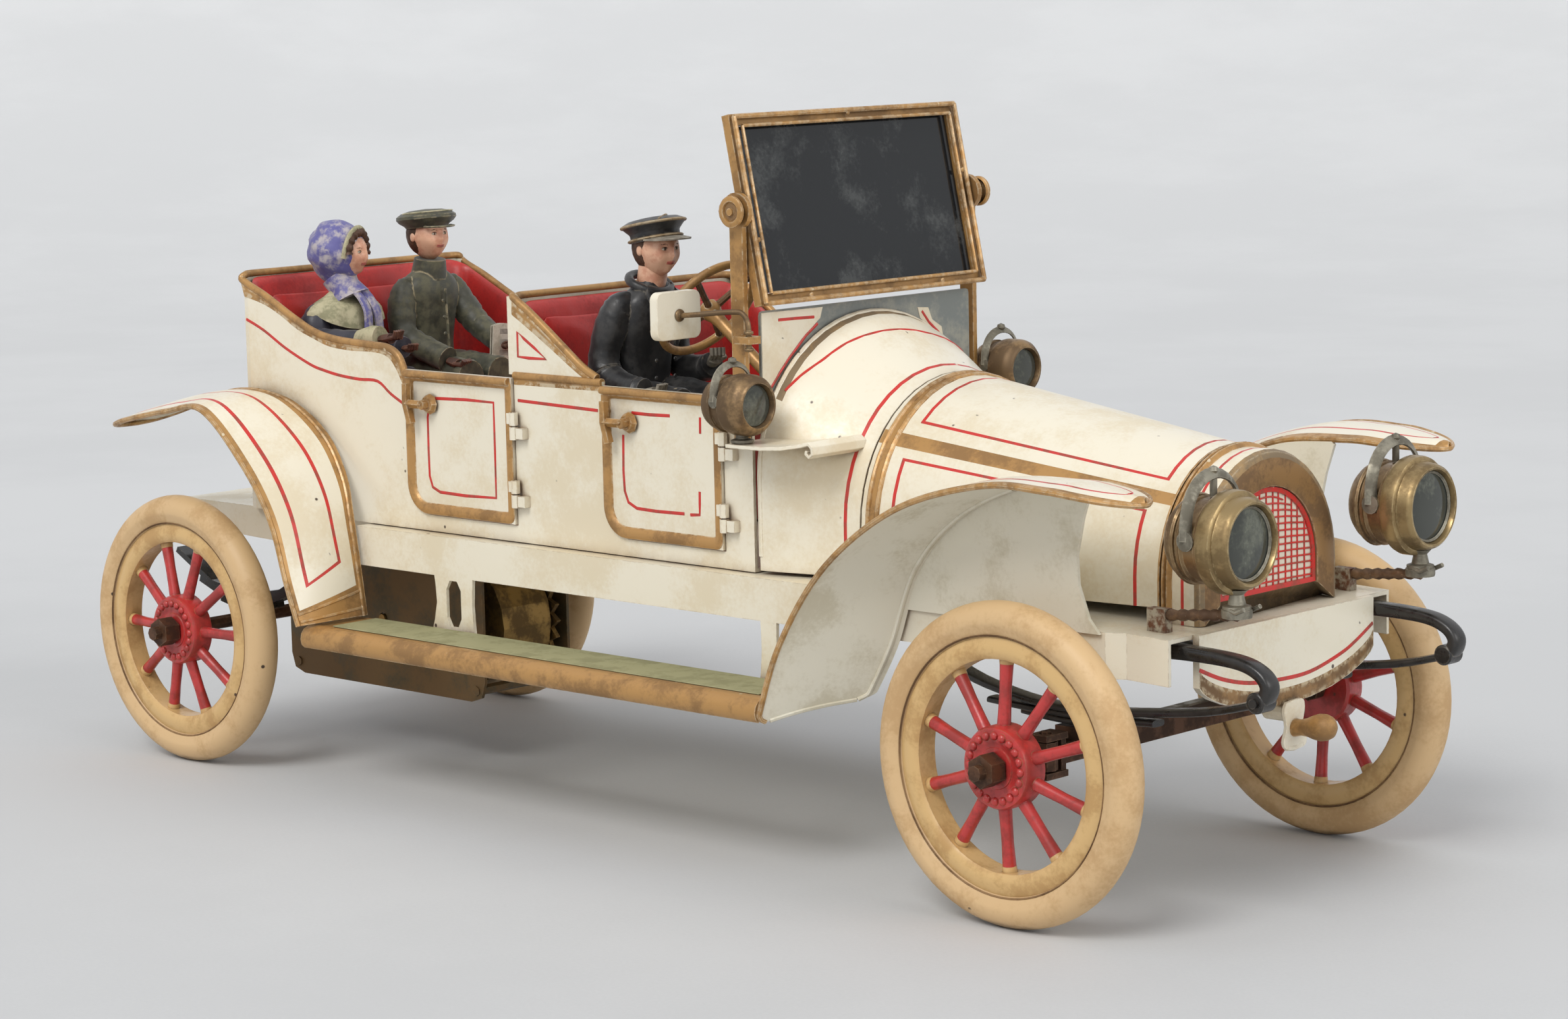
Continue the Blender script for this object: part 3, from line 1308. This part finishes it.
def make_front_seat(red):
    half = BODY_HALF_WIDTH - TIN - GAP
    rear = PARTITION_X + 1.6 * TIN + GAP
    floor = FLOOR_Z + TIN + GAP
    side = smooth([(rear, MID_RIM_Z - TIN), *front_rim(TIN)], 2)
    end = FRONT_DOOR_X - 4 * GAP
    outline = [(rear, floor), *side, (end, RAIL_Z - 0.0024), (end, floor)]
    shell = plate(outline, -half, half, SIDE_PLANE)
    inside = half - LINING
    room = rounded_plan(rear + BACK_PADDING, end + TIN, inside, 2 * BODY_CORNER_RADIUS)
    above = plate(room, FRONT_CUSHION_Z, CUT_TOP_Z, PLAN_PLANE)
    well = block((FRONT_CUSHION_FRONT, -inside, floor - TIN), (end + TIN, inside, FRONT_CUSHION_Z + TIN))
    under = block(
        (rear + BACK_PADDING, -inside, floor - TIN), (
            FRONT_CUSHION_FRONT - LINING, inside, FRONT_CUSHION_Z - CUSHION_SKIN
        )
    )
    shell = combine(shell, [above, well, under], "DIFFERENCE")
    back = rear + BACK_PADDING
    low = FRONT_CUSHION_Z + SQUAB_MARGIN
    pads = [
        cushion(
            back - TIN, FRONT_CUSHION_FRONT + CUSHION_LIP, inside + CUSHION_TUCK / 2, FRONT_CUSHION_Z
        ),
        squab(back, inside - SQUAB_MARGIN, low, MID_RIM_Z - SQUAB_MARGIN),
    ]
    place(fuse(shell, *pads), "front_seat", red)


def column_point(distance):
    """A point on the steering column's axis, measured forwards and down from the wheel's middle."""
    ahead = math.cos(COLUMN_RAKE) * distance
    down = math.sin(COLUMN_RAKE) * distance
    return Vector((STEERING_X + ahead, STEERING_Y, STEERING_Z - down))


def make_dash(steel):
    base = FLOOR_Z + TIN + GAP
    outline = rounded(
        [
            (-DASH_HALF_WIDTH, base),
            (DASH_HALF_WIDTH, base),
            (DASH_HALF_WIDTH, DASH_TOP_Z),
            (-DASH_HALF_WIDTH, DASH_TOP_Z),
        ],
        0.0012,
        steps=2,
    )
    board = plate(outline, DASH_X - DASH_THICKNESS / 2, DASH_X + DASH_THICKNESS / 2, CROSS_PLANE)
    hole = rod(column_point(0.0400), column_point(0.0560), COLUMN_RADIUS + RUNNING_GAP, sides=14)
    place(cut(board, hole), "dash_plate", steel)


def arch_rows(stations):
    """Rows of points for a hood lofted through stations of (x, half width, spring, top, base)."""
    rows = []
    for x, half_width, spring, top, base in stations:
        rows.append([(x, y, z) for y, z in arch(half_width, spring, top, base)])
    return rows


def make_scuttle(cream):
    start = DASH_X + DASH_THICKNESS / 2 + 2 * GAP
    end = BONNET_REAR_X - 2 * GAP
    count = 4
    stations = []
    for i in range(count + 1):
        t = i / count
        ease = t * t * (3 - 2 * t) * 0.55 + t * 0.45
        stations.append(
            (
                start + (end - start) * t,
                SCUTTLE_HALF_WIDTH + (BONNET_REAR_HALF_WIDTH - SCUTTLE_HALF_WIDTH) * ease,
                SCUTTLE_SPRING_Z + (BONNET_REAR_SPRING_Z - SCUTTLE_SPRING_Z) * ease,
                SCUTTLE_TOP_Z + (BONNET_REAR_TOP_Z - SCUTTLE_TOP_Z) * ease,
                FLOOR_Z + TIN / 2,
            )
        )
    hood = sheet(arch_rows(stations), TIN)
    shelf_end = SHELF_Z + 0.0006
    outer = -SIDELAMP_Y - 0.0046
    root = 0.0025 - SCUTTLE_HALF_WIDTH
    rows = [
        [(start + 0.0010, root, SHELF_Z), (start + 0.0010, outer, SHELF_Z)],
        [(start + 0.0080, root + 0.0020, SHELF_Z), (start + 0.0080, outer, SHELF_Z)],
        [(start + 0.0170, root + 0.0060, SHELF_Z), (start + 0.0170, outer + 0.0010, shelf_end)],
        [
            (end - 0.0030, root + 0.0080, SHELF_Z - 0.0050),
            (end - 0.0030, outer + 0.0070, shelf_end + 0.0008),
        ],
    ]
    tip_x = end - 0.0030
    tip = (tip_x, outer + 0.0074, shelf_end + 0.0006)
    curl = rod((tip_x, root + 0.0060, SHELF_Z - 0.0040), tip, 1.3 * TIN, sides=8)
    shelf = fuse(sheet(rows, 0.9 * TIN), curl)
    shelves = [shelf, mirror_of(shelf)]
    place(fuse(hood, *shelves), "scuttle", cream)


def make_bonnet(cream):
    base = CHASSIS_TOP + GAP + TIN / 2
    front_base = CHASSIS_FRONT_TOP + 4 * TIN
    stations = []
    for i in range(3):
        t = i / 2
        stations.append(
            (
                BONNET_REAR_X + (BONNET_FRONT_X - BONNET_REAR_X) * t,
                BONNET_REAR_HALF_WIDTH + (BONNET_FRONT_HALF_WIDTH - BONNET_REAR_HALF_WIDTH) * t,
                BONNET_REAR_SPRING_Z + (BONNET_FRONT_SPRING_Z - BONNET_REAR_SPRING_Z) * t,
                BONNET_REAR_TOP_Z + (BONNET_FRONT_TOP_Z - BONNET_REAR_TOP_Z) * t,
                min(base, front_base),
            )
        )
    place(sheet(arch_rows(stations), TIN), "bonnet", cream)


def grille_outline(grow):
    arch_radius = GRILLE_HALF_WIDTH + grow
    top = arc((0.0, GRILLE_SPRING_Z), arch_radius, 0, 180, 12)
    return [*top, (-arch_radius, GRILLE_LOW_Z - grow), (arch_radius, GRILLE_LOW_Z - grow)]


def make_radiator(cream, red):
    rear = BONNET_FRONT_X + 2 * GAP
    outline = arch(
        BONNET_FRONT_HALF_WIDTH + TIN / 2,
        BONNET_FRONT_SPRING_Z,
        BONNET_FRONT_TOP_Z + TIN / 2,
        CHASSIS_FRONT_TOP + 4 * GAP,
    )
    shell = plate(outline, rear, RADIATOR_FRONT_X, CROSS_PLANE)
    floor = RADIATOR_FRONT_X - GRILLE_POCKET
    pocket = plate(grille_outline(GAP), floor, RADIATOR_FRONT_X + TIN, CROSS_PLANE)
    place(cut(shell, pocket), "radiator", cream)
    grid = plate(grille_outline(0.0), floor + GAP, floor + GAP + GRILLE_THICKNESS, CROSS_PLANE)
    place(grid, "grille", red)


def make_windscreen(gold, glass):
    lean = Matrix.Translation((SCREEN_PIVOT_X, 0.0, SCREEN_PIVOT_Z)) @ Matrix.Rotation(
        -SCREEN_LEAN, 4, "Y"
    )
    half = SCREEN_HALF_WIDTH
    low = -SCREEN_BELOW_PIVOT
    high = SCREEN_ABOVE_PIVOT
    bar = SCREEN_BAR
    outline = [(-half, low), (half, low), (half, high), (-half, high)]
    window = inset_outline(outline, bar)
    pane = inset_outline(outline, bar + GAP)
    frame = plate(outline, -SCREEN_DEPTH / 2, SCREEN_DEPTH / 2, CROSS_PLANE, [window])
    stay = half + RUNNING_GAP + GAP
    pieces = [frame]
    for side in (-1, 1):
        knob = stay + STANCHION_THICKNESS + GAP
        pieces.append(
            rod((0, side * (half - TIN), 0), (0, side * (knob + TIN), 0), SCREEN_PIN_RADIUS, sides=10)
        )
        pieces.append(
            rod((0, side * knob, 0), (0, side * (knob + KNOB_LENGTH), 0), KNOB_RADIUS, sides=14)
        )
    frame = fuse(*pieces)
    frame.data.transform(lean)
    pivot = (SCREEN_PIVOT_X, 0.0, SCREEN_PIVOT_Z)
    place(frame, "windscreen_frame", gold, pivot)
    pane = plate(pane, -SCREEN_GLASS / 2, SCREEN_GLASS / 2, CROSS_PLANE)
    pane.data.transform(lean)
    place(pane, "windscreen_glass", glass, pivot)

    reach = STANCHION_WIDTH / 2
    inner = -stay
    outer = -stay - STANCHION_THICKNESS
    right = stanchion(inner, outer)
    low = MIRROR_ARM_LOW_Z + 0.0020
    clip = block(
        (SCREEN_PIVOT_X + reach - TIN, MIRROR_ARM_Y - 0.0014, low), (
            MIRROR_ARM_X + 0.0014, outer + TIN, low + 0.0020
        )
    )
    eye = rod(
        (MIRROR_ARM_X, MIRROR_ARM_Y, low - TIN), (
            MIRROR_ARM_X, MIRROR_ARM_Y, low + 0.0030
        ), MIRROR_WIRE + GAP, sides=10
    )
    left = stanchion(inner, outer)
    place(cut(fuse(right, clip), eye), "stanchion_right", gold)
    place(mirror_of(left), "stanchion_left", gold)
    bpy.data.objects.remove(left, do_unlink=True)


def stanchion(inner, outer):
    x = SCREEN_PIVOT_X
    z = SCREEN_PIVOT_Z
    reach = STANCHION_WIDTH / 2
    outline = [(x - reach, STANCHION_LOW_Z), (x + reach, STANCHION_LOW_Z), (x + reach, z), (x - reach, z)]
    post = fuse(
        plate(outline, outer, inner, SIDE_PLANE), rod(
            (x, outer, z), (x, inner, z), STANCHION_EYE_RADIUS, sides=18
        )
    )
    hole = rod((x, outer - TIN, z), (x, inner + TIN, z), SCREEN_PIN_RADIUS + GAP, sides=12)
    return combine(post, [hole], "DIFFERENCE")


def make_steering(gold):
    axis = column_point(1.0) - column_point(0.0)
    rim = arc((0.0, STEERING_RADIUS), STEERING_RIM, 0, 288, 4)
    pieces = [turned(rim, column_point(0.0), axis, steps=18, closed=True)]
    turn = Vector((0, 0, 1)).rotation_difference(axis).to_matrix()
    for i in range(4):
        angle = math.radians(45 + 90 * i)
        out = turn @ Vector((math.cos(angle), math.sin(angle), 0.0))
        spoke_end = column_point(0.0) + out * STEERING_RADIUS
        pieces.append(rod(column_point(0.0020), spoke_end, 0.0009, sides=5))
    pieces.append(rod(column_point(-0.0012), column_point(0.0032), 0.0030, 0.0022, sides=10))
    pieces.append(rod(column_point(0.0), column_point(COLUMN_LENGTH), COLUMN_RADIUS, sides=8))
    place(fuse(*pieces), "steering_wheel", gold, tuple(column_point(0.0)))


def guard_sheet(outer, inner, stations):
    """A crowned mudguard between its outer and inner edges, each a few points of (x, half width, z)."""
    outer = smooth(outer, stations)
    inner = smooth(inner, stations)
    rows = []
    across = 3
    for i, (edge, root) in enumerate(zip(outer, inner)):
        edge = Vector((edge[0], -edge[1], edge[2]))
        root = Vector((root[0], -root[1], root[2]))
        before = Vector(outer[max(i - 1, 0)]) + Vector(inner[max(i - 1, 0)])
        last = len(outer) - 1
        after = Vector(outer[min(i + 1, last)]) + Vector(inner[min(i + 1, last)])
        along = (after - before).normalized()
        swell = Vector((-along.z, 0.0, along.x)) * GUARD_CROWN
        if swell.z < 0 and abs(along.z) < 0.9:
            swell = -swell
        row = []
        for j in range(across + 1):
            t = j / across
            row.append(root.lerp(edge, t) + swell * math.sin(math.pi * t))
        rows.append(row)
    return sheet(rows, GUARD_THICKNESS)


def make_guards(cream):
    outer = GUARD_OUTER_Y
    inner = VALANCE_Y + TIN / 2
    x = WHEELBASE
    z = AXLE_Z
    front_outer = [
        (x - 0.0741, outer, z + 0.0025),
        (x - 0.0658, outer, z + 0.0235),
        (x - 0.0499, outer, z + 0.0448),
        (x - 0.0263, outer, z + 0.0610),
        (x + 0.0007, outer, z + 0.0688),
        (x + 0.0197, outer, z + 0.0690),
        (x + 0.0277, outer - 0.0010, z + 0.0682),
        (x + 0.0347, outer - 0.0036, z + 0.0672),
        (x + 0.0393, outer - 0.0078, z + 0.0664),
        (x + 0.0407, outer - 0.0112, z + 0.0661),
    ]
    front_inner = [
        (x - 0.0563, inner, z + 0.0080),
        (x - 0.0478, inner, z + 0.0223),
        (x - 0.0397, inner, z + 0.0424),
        (x - 0.0248, inner, z + 0.0570),
        (x - 0.0033, inner, z + 0.0662),
        (x + 0.0177, inner + 0.0002, z + 0.0680),
        (x + 0.0267, inner + 0.0014, z + 0.0676),
        (x + 0.0342, inner + 0.0042, z + 0.0669),
        (x + 0.0391, inner + 0.0088, z + 0.0663),
        (x + 0.0407, inner + 0.0124, z + 0.0661),
    ]
    wing = guard_sheet(front_outer, front_inner, 2)
    top = smooth([(u, v) for u, _, v in front_inner[1:6]], 2)
    web = [(u, v) for u, v in top if z + 0.0300 < v and u < x + 0.0157]
    web += [
        (x + 0.0149, z + 0.0666),
        (x + 0.0123, z + 0.0590),
        (x + 0.0103, z + 0.0500),
        (x + 0.0107, z + 0.0430),
        (x + 0.0137, z + 0.0350),
        (x + 0.0169, z + 0.0315),
        (x - 0.0438, z + 0.0315),
    ]
    valance = plate(web, -VALANCE_Y - TIN, -VALANCE_Y, SIDE_PLANE)
    right = place(fuse(wing, valance), "front_mudguard_right", cream)
    left_copy(right, "front_mudguard_left")

    upper = BODY_HALF_WIDTH + GAP + GUARD_THICKNESS / 2
    foot = BOARD_TOP_Z + GAP + 0.0002
    rear_outer = [
        (-0.0270, outer - 0.0125, z + 0.0594),
        (-0.0256, outer - 0.0072, z + 0.0597),
        (-0.0205, outer - 0.0026, z + 0.0608),
        (-0.0110, outer, z + 0.0630),
        (0.0080, outer, z + 0.0666),
        (0.0245, outer, z + 0.0680),
        (0.0422, outer, z + 0.0539),
        (0.0542, outer, z + 0.0383),
        (0.0606, outer, z + 0.0200),
        (0.0652, outer, foot),
    ]
    rear_inner = [
        (-0.0270, upper + 0.0140, z + 0.0594),
        (-0.0256, upper + 0.0084, z + 0.0601),
        (-0.0205, upper + 0.0034, z + 0.0622),
        (-0.0110, upper + 0.0006, z + 0.0656),
        (0.0060, upper, z + 0.0700),
        (0.0275, upper, z + 0.0688),
        (0.0450, upper, z + 0.0600),
        (0.0560, upper + 0.0020, z + 0.0480),
        (0.0625, inner + GAP, z + 0.0345),
        (0.0665, inner + GAP, foot),
    ]
    right = place(guard_sheet(rear_outer, rear_inner, 2), "rear_mudguard_right", cream)
    left_copy(right, "rear_mudguard_left")


def make_boards(green):
    top = BOARD_TOP_Z
    under = top - BOARD_THICKNESS
    lip = top - BOARD_LIP
    outer = BOARD_OUTER_Y
    bend = 0.0008
    section = [
        (-BOARD_INNER_Y, under),
        (-BOARD_INNER_Y, top),
        (-outer + bend, top),
        (-outer, top - bend),
        (-outer, lip + bend),
        (-outer + bend, lip),
        (-outer + 2 * bend, lip + bend),
        (-outer + 2 * bend, under),
    ]
    board = plate(section, BOARD_REAR_X, BOARD_FRONT_X, CROSS_PLANE)
    right = place(board, "running_board_right", green)
    left_copy(right, "running_board_left")


def lamp_strap(x, y, z, half_width, low, high, lean):
    points = []
    for i in range(7):
        angle = math.pi * i / 6
        rise = low + (high - low) * math.sin(angle) ** 0.8
        points.append((x + lean * math.sin(angle), y + half_width * math.cos(angle), z + rise))
    return wire(points, LAMP_STRAP, 0)


def make_headlamps(brass, glass):
    length = HEADLAMP_LENGTH
    bezel = length - HEADLAMP_BEZEL
    body = HEADLAMP_BODY_RADIUS
    rim = HEADLAMP_RADIUS
    pocket = HEADLAMP_GLASS_RADIUS + GAP
    profile = [
        (0.0, 0.0),
        (0.0, 0.55 * body),
        (0.0016, 0.86 * body),
        (0.0040, body),
        (bezel, body),
        (bezel + 0.0008, rim),
        (length - 0.0028, rim),
        (length, pocket + 0.0010),
        (length, pocket),
        (length - 0.0024, pocket),
        (length - 0.0024, 0.0),
    ]
    back = HEADLAMP_X - length
    axis_y = -HEADLAMP_Y
    strap_x = back + bezel - 0.0010
    pad = lamp_pad_z() + GAP
    stem_x = HEADLAMP_X - 0.0045
    case = fuse(
        turned(profile, (back, axis_y, HEADLAMP_Z), (1, 0, 0), steps=16),
        lamp_strap(strap_x, axis_y, HEADLAMP_Z, 0.0098, 0.0020, 0.0162, 0.0030),
        rod(
            (strap_x + 0.0022, axis_y, HEADLAMP_Z + 0.8 * body),
            (strap_x + 0.0030, axis_y, HEADLAMP_Z + 0.0178),
            0.0009,
            sides=6,
        ),
        rod(
            (stem_x, axis_y - 0.0005, pad),
            (stem_x, axis_y - 0.0005, HEADLAMP_Z - rim + 0.0010),
            0.0026,
            0.0018,
            sides=8,
        ),
    )
    right = place(case, "headlamp_right", brass)
    left_copy(right, "headlamp_left")
    start = HEADLAMP_X - 0.0024 + GAP
    pane = [(0.0, 0.0), (0.0, HEADLAMP_GLASS_RADIUS), (0.0012, HEADLAMP_GLASS_RADIUS), (0.0012, 0.0)]
    pane = turned(pane, (start, axis_y, HEADLAMP_Z), (1, 0, 0), steps=16)
    right = place(pane, "headlamp_glass_right", glass)
    left_copy(right, "headlamp_glass_left")


def make_sidelamps(brass, glass):
    length = SIDELAMP_LENGTH
    bezel = length - SIDELAMP_BEZEL
    body = SIDELAMP_BODY_RADIUS
    rim = SIDELAMP_RADIUS
    pocket = SIDELAMP_GLASS_RADIUS + GAP
    profile = [
        (0.0, 0.0),
        (0.0, 0.6 * body),
        (0.0026, body),
        (bezel, body),
        (bezel + 0.0004, rim),
        (length - 0.0022, rim),
        (length, pocket + 0.0008),
        (length, pocket),
        (length - 0.0020, pocket),
        (length - 0.0020, 0.0),
    ]
    back = SIDELAMP_X - length
    axis_y = -SIDELAMP_Y - 0.0009
    stem_x = SIDELAMP_X - 0.0062
    case = fuse(
        turned(profile, (back, axis_y, SIDELAMP_Z), (1, 0, 0), steps=12),
        lamp_strap(stem_x - 0.0020, axis_y, SIDELAMP_Z, 0.0056, 0.0030, 0.0104, 0.0010),
        rod(
            (stem_x, axis_y, SHELF_Z + 0.45 * TIN + GAP),
            (stem_x, axis_y, SIDELAMP_Z - 0.9 * body),
            0.0016,
            sides=8,
        ),
    )
    right = place(case, "sidelamp_right", brass)
    left_copy(right, "sidelamp_left")


def make_mirror(cream):
    half = MIRROR_DEPTH / 2
    box = block(
        (MIRROR_X - half, MIRROR_Y - MIRROR_WIDTH / 2, MIRROR_Z - MIRROR_HEIGHT / 2),
        (MIRROR_X + half, MIRROR_Y + MIRROR_WIDTH / 2, MIRROR_Z + MIRROR_HEIGHT / 2),
    )
    soften = box.modifiers.new("soften", "BEVEL")
    soften.width = 0.0008
    soften.segments = 1
    arm = wire(
        [
            (MIRROR_X, MIRROR_Y, MIRROR_Z),
            (MIRROR_X + half + 0.0060, MIRROR_Y + 0.0008, MIRROR_Z + 0.0002),
            (MIRROR_ARM_X - 0.0028, MIRROR_ARM_Y - 0.0006, MIRROR_Z + 0.0004),
            (MIRROR_ARM_X - 0.0007, MIRROR_ARM_Y, MIRROR_Z - 0.0006),
            (MIRROR_ARM_X, MIRROR_ARM_Y, MIRROR_Z - 0.0026),
            (MIRROR_ARM_X, MIRROR_ARM_Y, MIRROR_ARM_LOW_Z),
        ],
        MIRROR_WIRE,
    )
    boss = ball((MIRROR_X + half, MIRROR_Y, MIRROR_Z), (0.0016, 0.0018, 0.0018), 8, 6)
    foot = rod(
        (MIRROR_ARM_X, MIRROR_ARM_Y, MIRROR_ARM_LOW_Z), (
            MIRROR_ARM_X, MIRROR_ARM_Y, MIRROR_ARM_LOW_Z + TIN
        ), 0.0013, sides=8
    )
    collar_z = MIRROR_ARM_LOW_Z + 0.0040 + RUNNING_GAP
    collar = rod(
        (MIRROR_ARM_X, MIRROR_ARM_Y, collar_z),
        (MIRROR_ARM_X, MIRROR_ARM_Y, collar_z + TIN),
        0.0013,
        sides=8,
    )
    mirror = fuse(box, arm, boss, foot, collar)
    place(mirror, "mirror", cream, (MIRROR_ARM_X, MIRROR_ARM_Y, MIRROR_ARM_LOW_Z))


def torso(x, y, seat, shoulders, depth, width, lean):
    """A seated body from the cushion up to the neck."""
    rise = shoulders - seat
    rings = []
    for share, deep, wide in (
        (0.0, 1.10, 0.92),
        (0.22, 1.12, 0.96),
        (0.50, 0.98, 0.92),
        (0.80, 1.02, 1.00),
        (0.95, 0.82, 0.84),
        (1.04, 0.50, 0.42),
        (1.26, 0.42, 0.30),
    ):
        ring = []
        for i in range(10):
            angle = math.tau * i / 10
            ring.append(
                (
                    x + lean * share + depth * deep * math.cos(angle),
                    y + width * wide * math.sin(angle),
                    seat + rise * share,
                )
            )
        rings.append(ring)
    return loft(rings)


def limb(points, radius):
    return wire(points, radius, resolution=1)


def flat_cap(x, y, z, radius):
    profile = [
        (0.0, 0.0),
        (0.0, 0.94 * radius),
        (0.0014, radius),
        (0.0032, 1.22 * radius),
        (0.0054, 0.75 * radius),
        (0.0060, 0.0),
    ]
    return turned(profile, (x, y, z), (-0.14, 0, 1), steps=12)


def make_riders(black, violet, olive):
    seat = FRONT_CUSHION_Z + CUSHION_EDGE + CUSHION_CROWN + GAP
    x = DRIVER_X
    y = DRIVER_Y
    head = (x + 0.0118, y, seat + 0.0479)
    driver = fuse(
        torso(x, y, seat, seat + 0.0344, 0.0078, 0.0128, 0.0065),
        ball(head, (HEAD_RADIUS, 0.92 * HEAD_RADIUS, 1.12 * HEAD_RADIUS)),
        flat_cap(head[0], y, head[2] + 0.0032, 0.0071),
        ball((head[0] + 0.0072, y, head[2] + 0.0034), (0.0046, 0.0060, 0.0009), 8, 4, 0.12),
        limb(
            [
                (x + 0.0052, y - 0.0118, seat + 0.0311),
                (x + 0.0030, y - 0.0146, seat + 0.0169),
                (x + 0.0200, y - 0.0130, seat + 0.0109),
            ],
            0.0044,
        ),
        limb(
            [
                (x + 0.0052, y + 0.0118, seat + 0.0311),
                (x + 0.0050, y + 0.0146, seat + 0.0169),
                (x + 0.0200, y + 0.0130, seat + 0.0119),
            ],
            0.0044,
        ),
        limb([(x, y - 0.0062, seat + 0.0062), (x + 0.0270, y - 0.0066, seat + 0.0064)], 0.0056),
        limb([(x, y + 0.0062, seat + 0.0062), (x + 0.0270, y + 0.0066, seat + 0.0064)], 0.0056),
    )
    place(driver, "driver", black)

    seat = REAR_CUSHION_Z + CUSHION_EDGE + CUSHION_CROWN + GAP
    x = LADY_X
    y = LADY_Y
    head = (x + 0.0060, y, seat + 0.0444)
    lady = fuse(
        torso(x, y, seat, seat + 0.0309, 0.0074, 0.0112, 0.0040),
        ball(head, (0.0076, 0.0074, 0.0090), 10, 7),
        ball((x + 0.0035, y, seat + 0.0324), (0.0094, 0.0116, 0.0052), 10, 5),
        limb(
            [
                (x + 0.0030, y - 0.0104, seat + 0.0279),
                (x + 0.0070, y - 0.0130, seat + 0.0169),
                (x + 0.0270, y - 0.0112, seat + 0.0197),
            ],
            0.0040,
        ),
        limb(
            [
                (x + 0.0030, y + 0.0090, seat + 0.0279),
                (x + 0.0070, y + 0.0096, seat + 0.0169),
                (x + 0.0250, y + 0.0070, seat + 0.0169),
            ],
            0.0038,
        ),
        limb([(x, y - 0.0050, seat + 0.0060), (x + 0.0270, y - 0.0056, seat + 0.0060)], 0.0054),
        limb([(x, y + 0.0050, seat + 0.0060), (x + 0.0270, y + 0.0056, seat + 0.0060)], 0.0054),
    )
    place(lady, "lady_passenger", violet)

    x = MAN_X
    y = MAN_Y
    head = (x + 0.0040, y, seat + 0.0469)
    man = fuse(
        torso(x, y, seat, seat + 0.0334, 0.0076, 0.0126, 0.0030),
        ball(head, (HEAD_RADIUS, 0.92 * HEAD_RADIUS, 1.10 * HEAD_RADIUS)),
        flat_cap(head[0], y, head[2] + 0.0028, 0.0072),
        limb(
            [
                (x + 0.0020, y - 0.0110, seat + 0.0304),
                (x + 0.0060, y - 0.0128, seat + 0.0169),
                (x + 0.0260, y - 0.0080, seat + 0.0099),
            ],
            0.0042,
        ),
        limb(
            [
                (x + 0.0020, y + 0.0110, seat + 0.0304),
                (x + 0.0100, y + 0.0132, seat + 0.0199),
                (x + 0.0280, y + 0.0110, seat + 0.0139),
            ],
            0.0042,
        ),
        limb([(x, y - 0.0056, seat + 0.0062), (x + 0.0290, y - 0.0060, seat + 0.0062)], 0.0056),
        limb([(x, y + 0.0056, seat + 0.0062), (x + 0.0290, y + 0.0060, seat + 0.0062)], 0.0056),
        block((x + 0.0240, y + 0.0060, seat + 0.0079), (x + 0.0252, y + 0.0190, seat + 0.0209)),
    )
    place(man, "man_passenger", olive)


def main():
    cream = paint("cream_paint", CREAM, 0.45)
    gold = paint("gold_bronze", GOLD, 0.4, 0.8)
    red = paint("red_paint", RED, 0.45)
    rubber = paint("tan_rubber", TAN, 0.7)
    black = paint("black_paint", BLACK, 0.4)
    brass = paint("aged_brass", BRASS, 0.4, 0.9)
    steel = paint("dull_steel", STEEL, 0.5, 0.8)
    brown = paint("brown_iron", BROWN, 0.6, 0.6)
    green = paint("green_mat", GREEN, 0.6)
    glass = paint("dark_glass", (0.03, 0.04, 0.05), 0.1)
    violet = paint("violet_cloth", (0.16, 0.17, 0.42), 0.6)
    olive = paint("olive_cloth", (0.10, 0.12, 0.08), 0.6)

    make_wheels(steel, red, rubber)
    make_front_axle(steel, brown)
    make_springs(black)
    make_motor(steel, brass)
    make_chassis(cream)
    make_crank(gold)
    make_body(cream)
    make_door("rear", REAR_DOOR_X, cream, gold)
    make_door("front", FRONT_DOOR_X, cream, gold)
    make_rear_seat(red)
    make_front_seat(red)
    make_dash(steel)
    make_scuttle(cream)
    make_bonnet(cream)
    make_radiator(cream, red)
    make_windscreen(gold, glass)
    make_steering(gold)
    make_guards(cream)
    make_boards(green)
    make_headlamps(brass, glass)
    make_sidelamps(brass, glass)
    make_mirror(cream)
    make_riders(black, violet, olive)
    CAR.location = (REAR_AXLE_X, 0.0, 0.0)


clear_scene()
PARTS = new_collection("tin_touring_car")
CUTTERS = new_collection("cutters")
CAR = bpy.data.objects.new("car_frame", None)
PARTS.objects.link(CAR)
main()
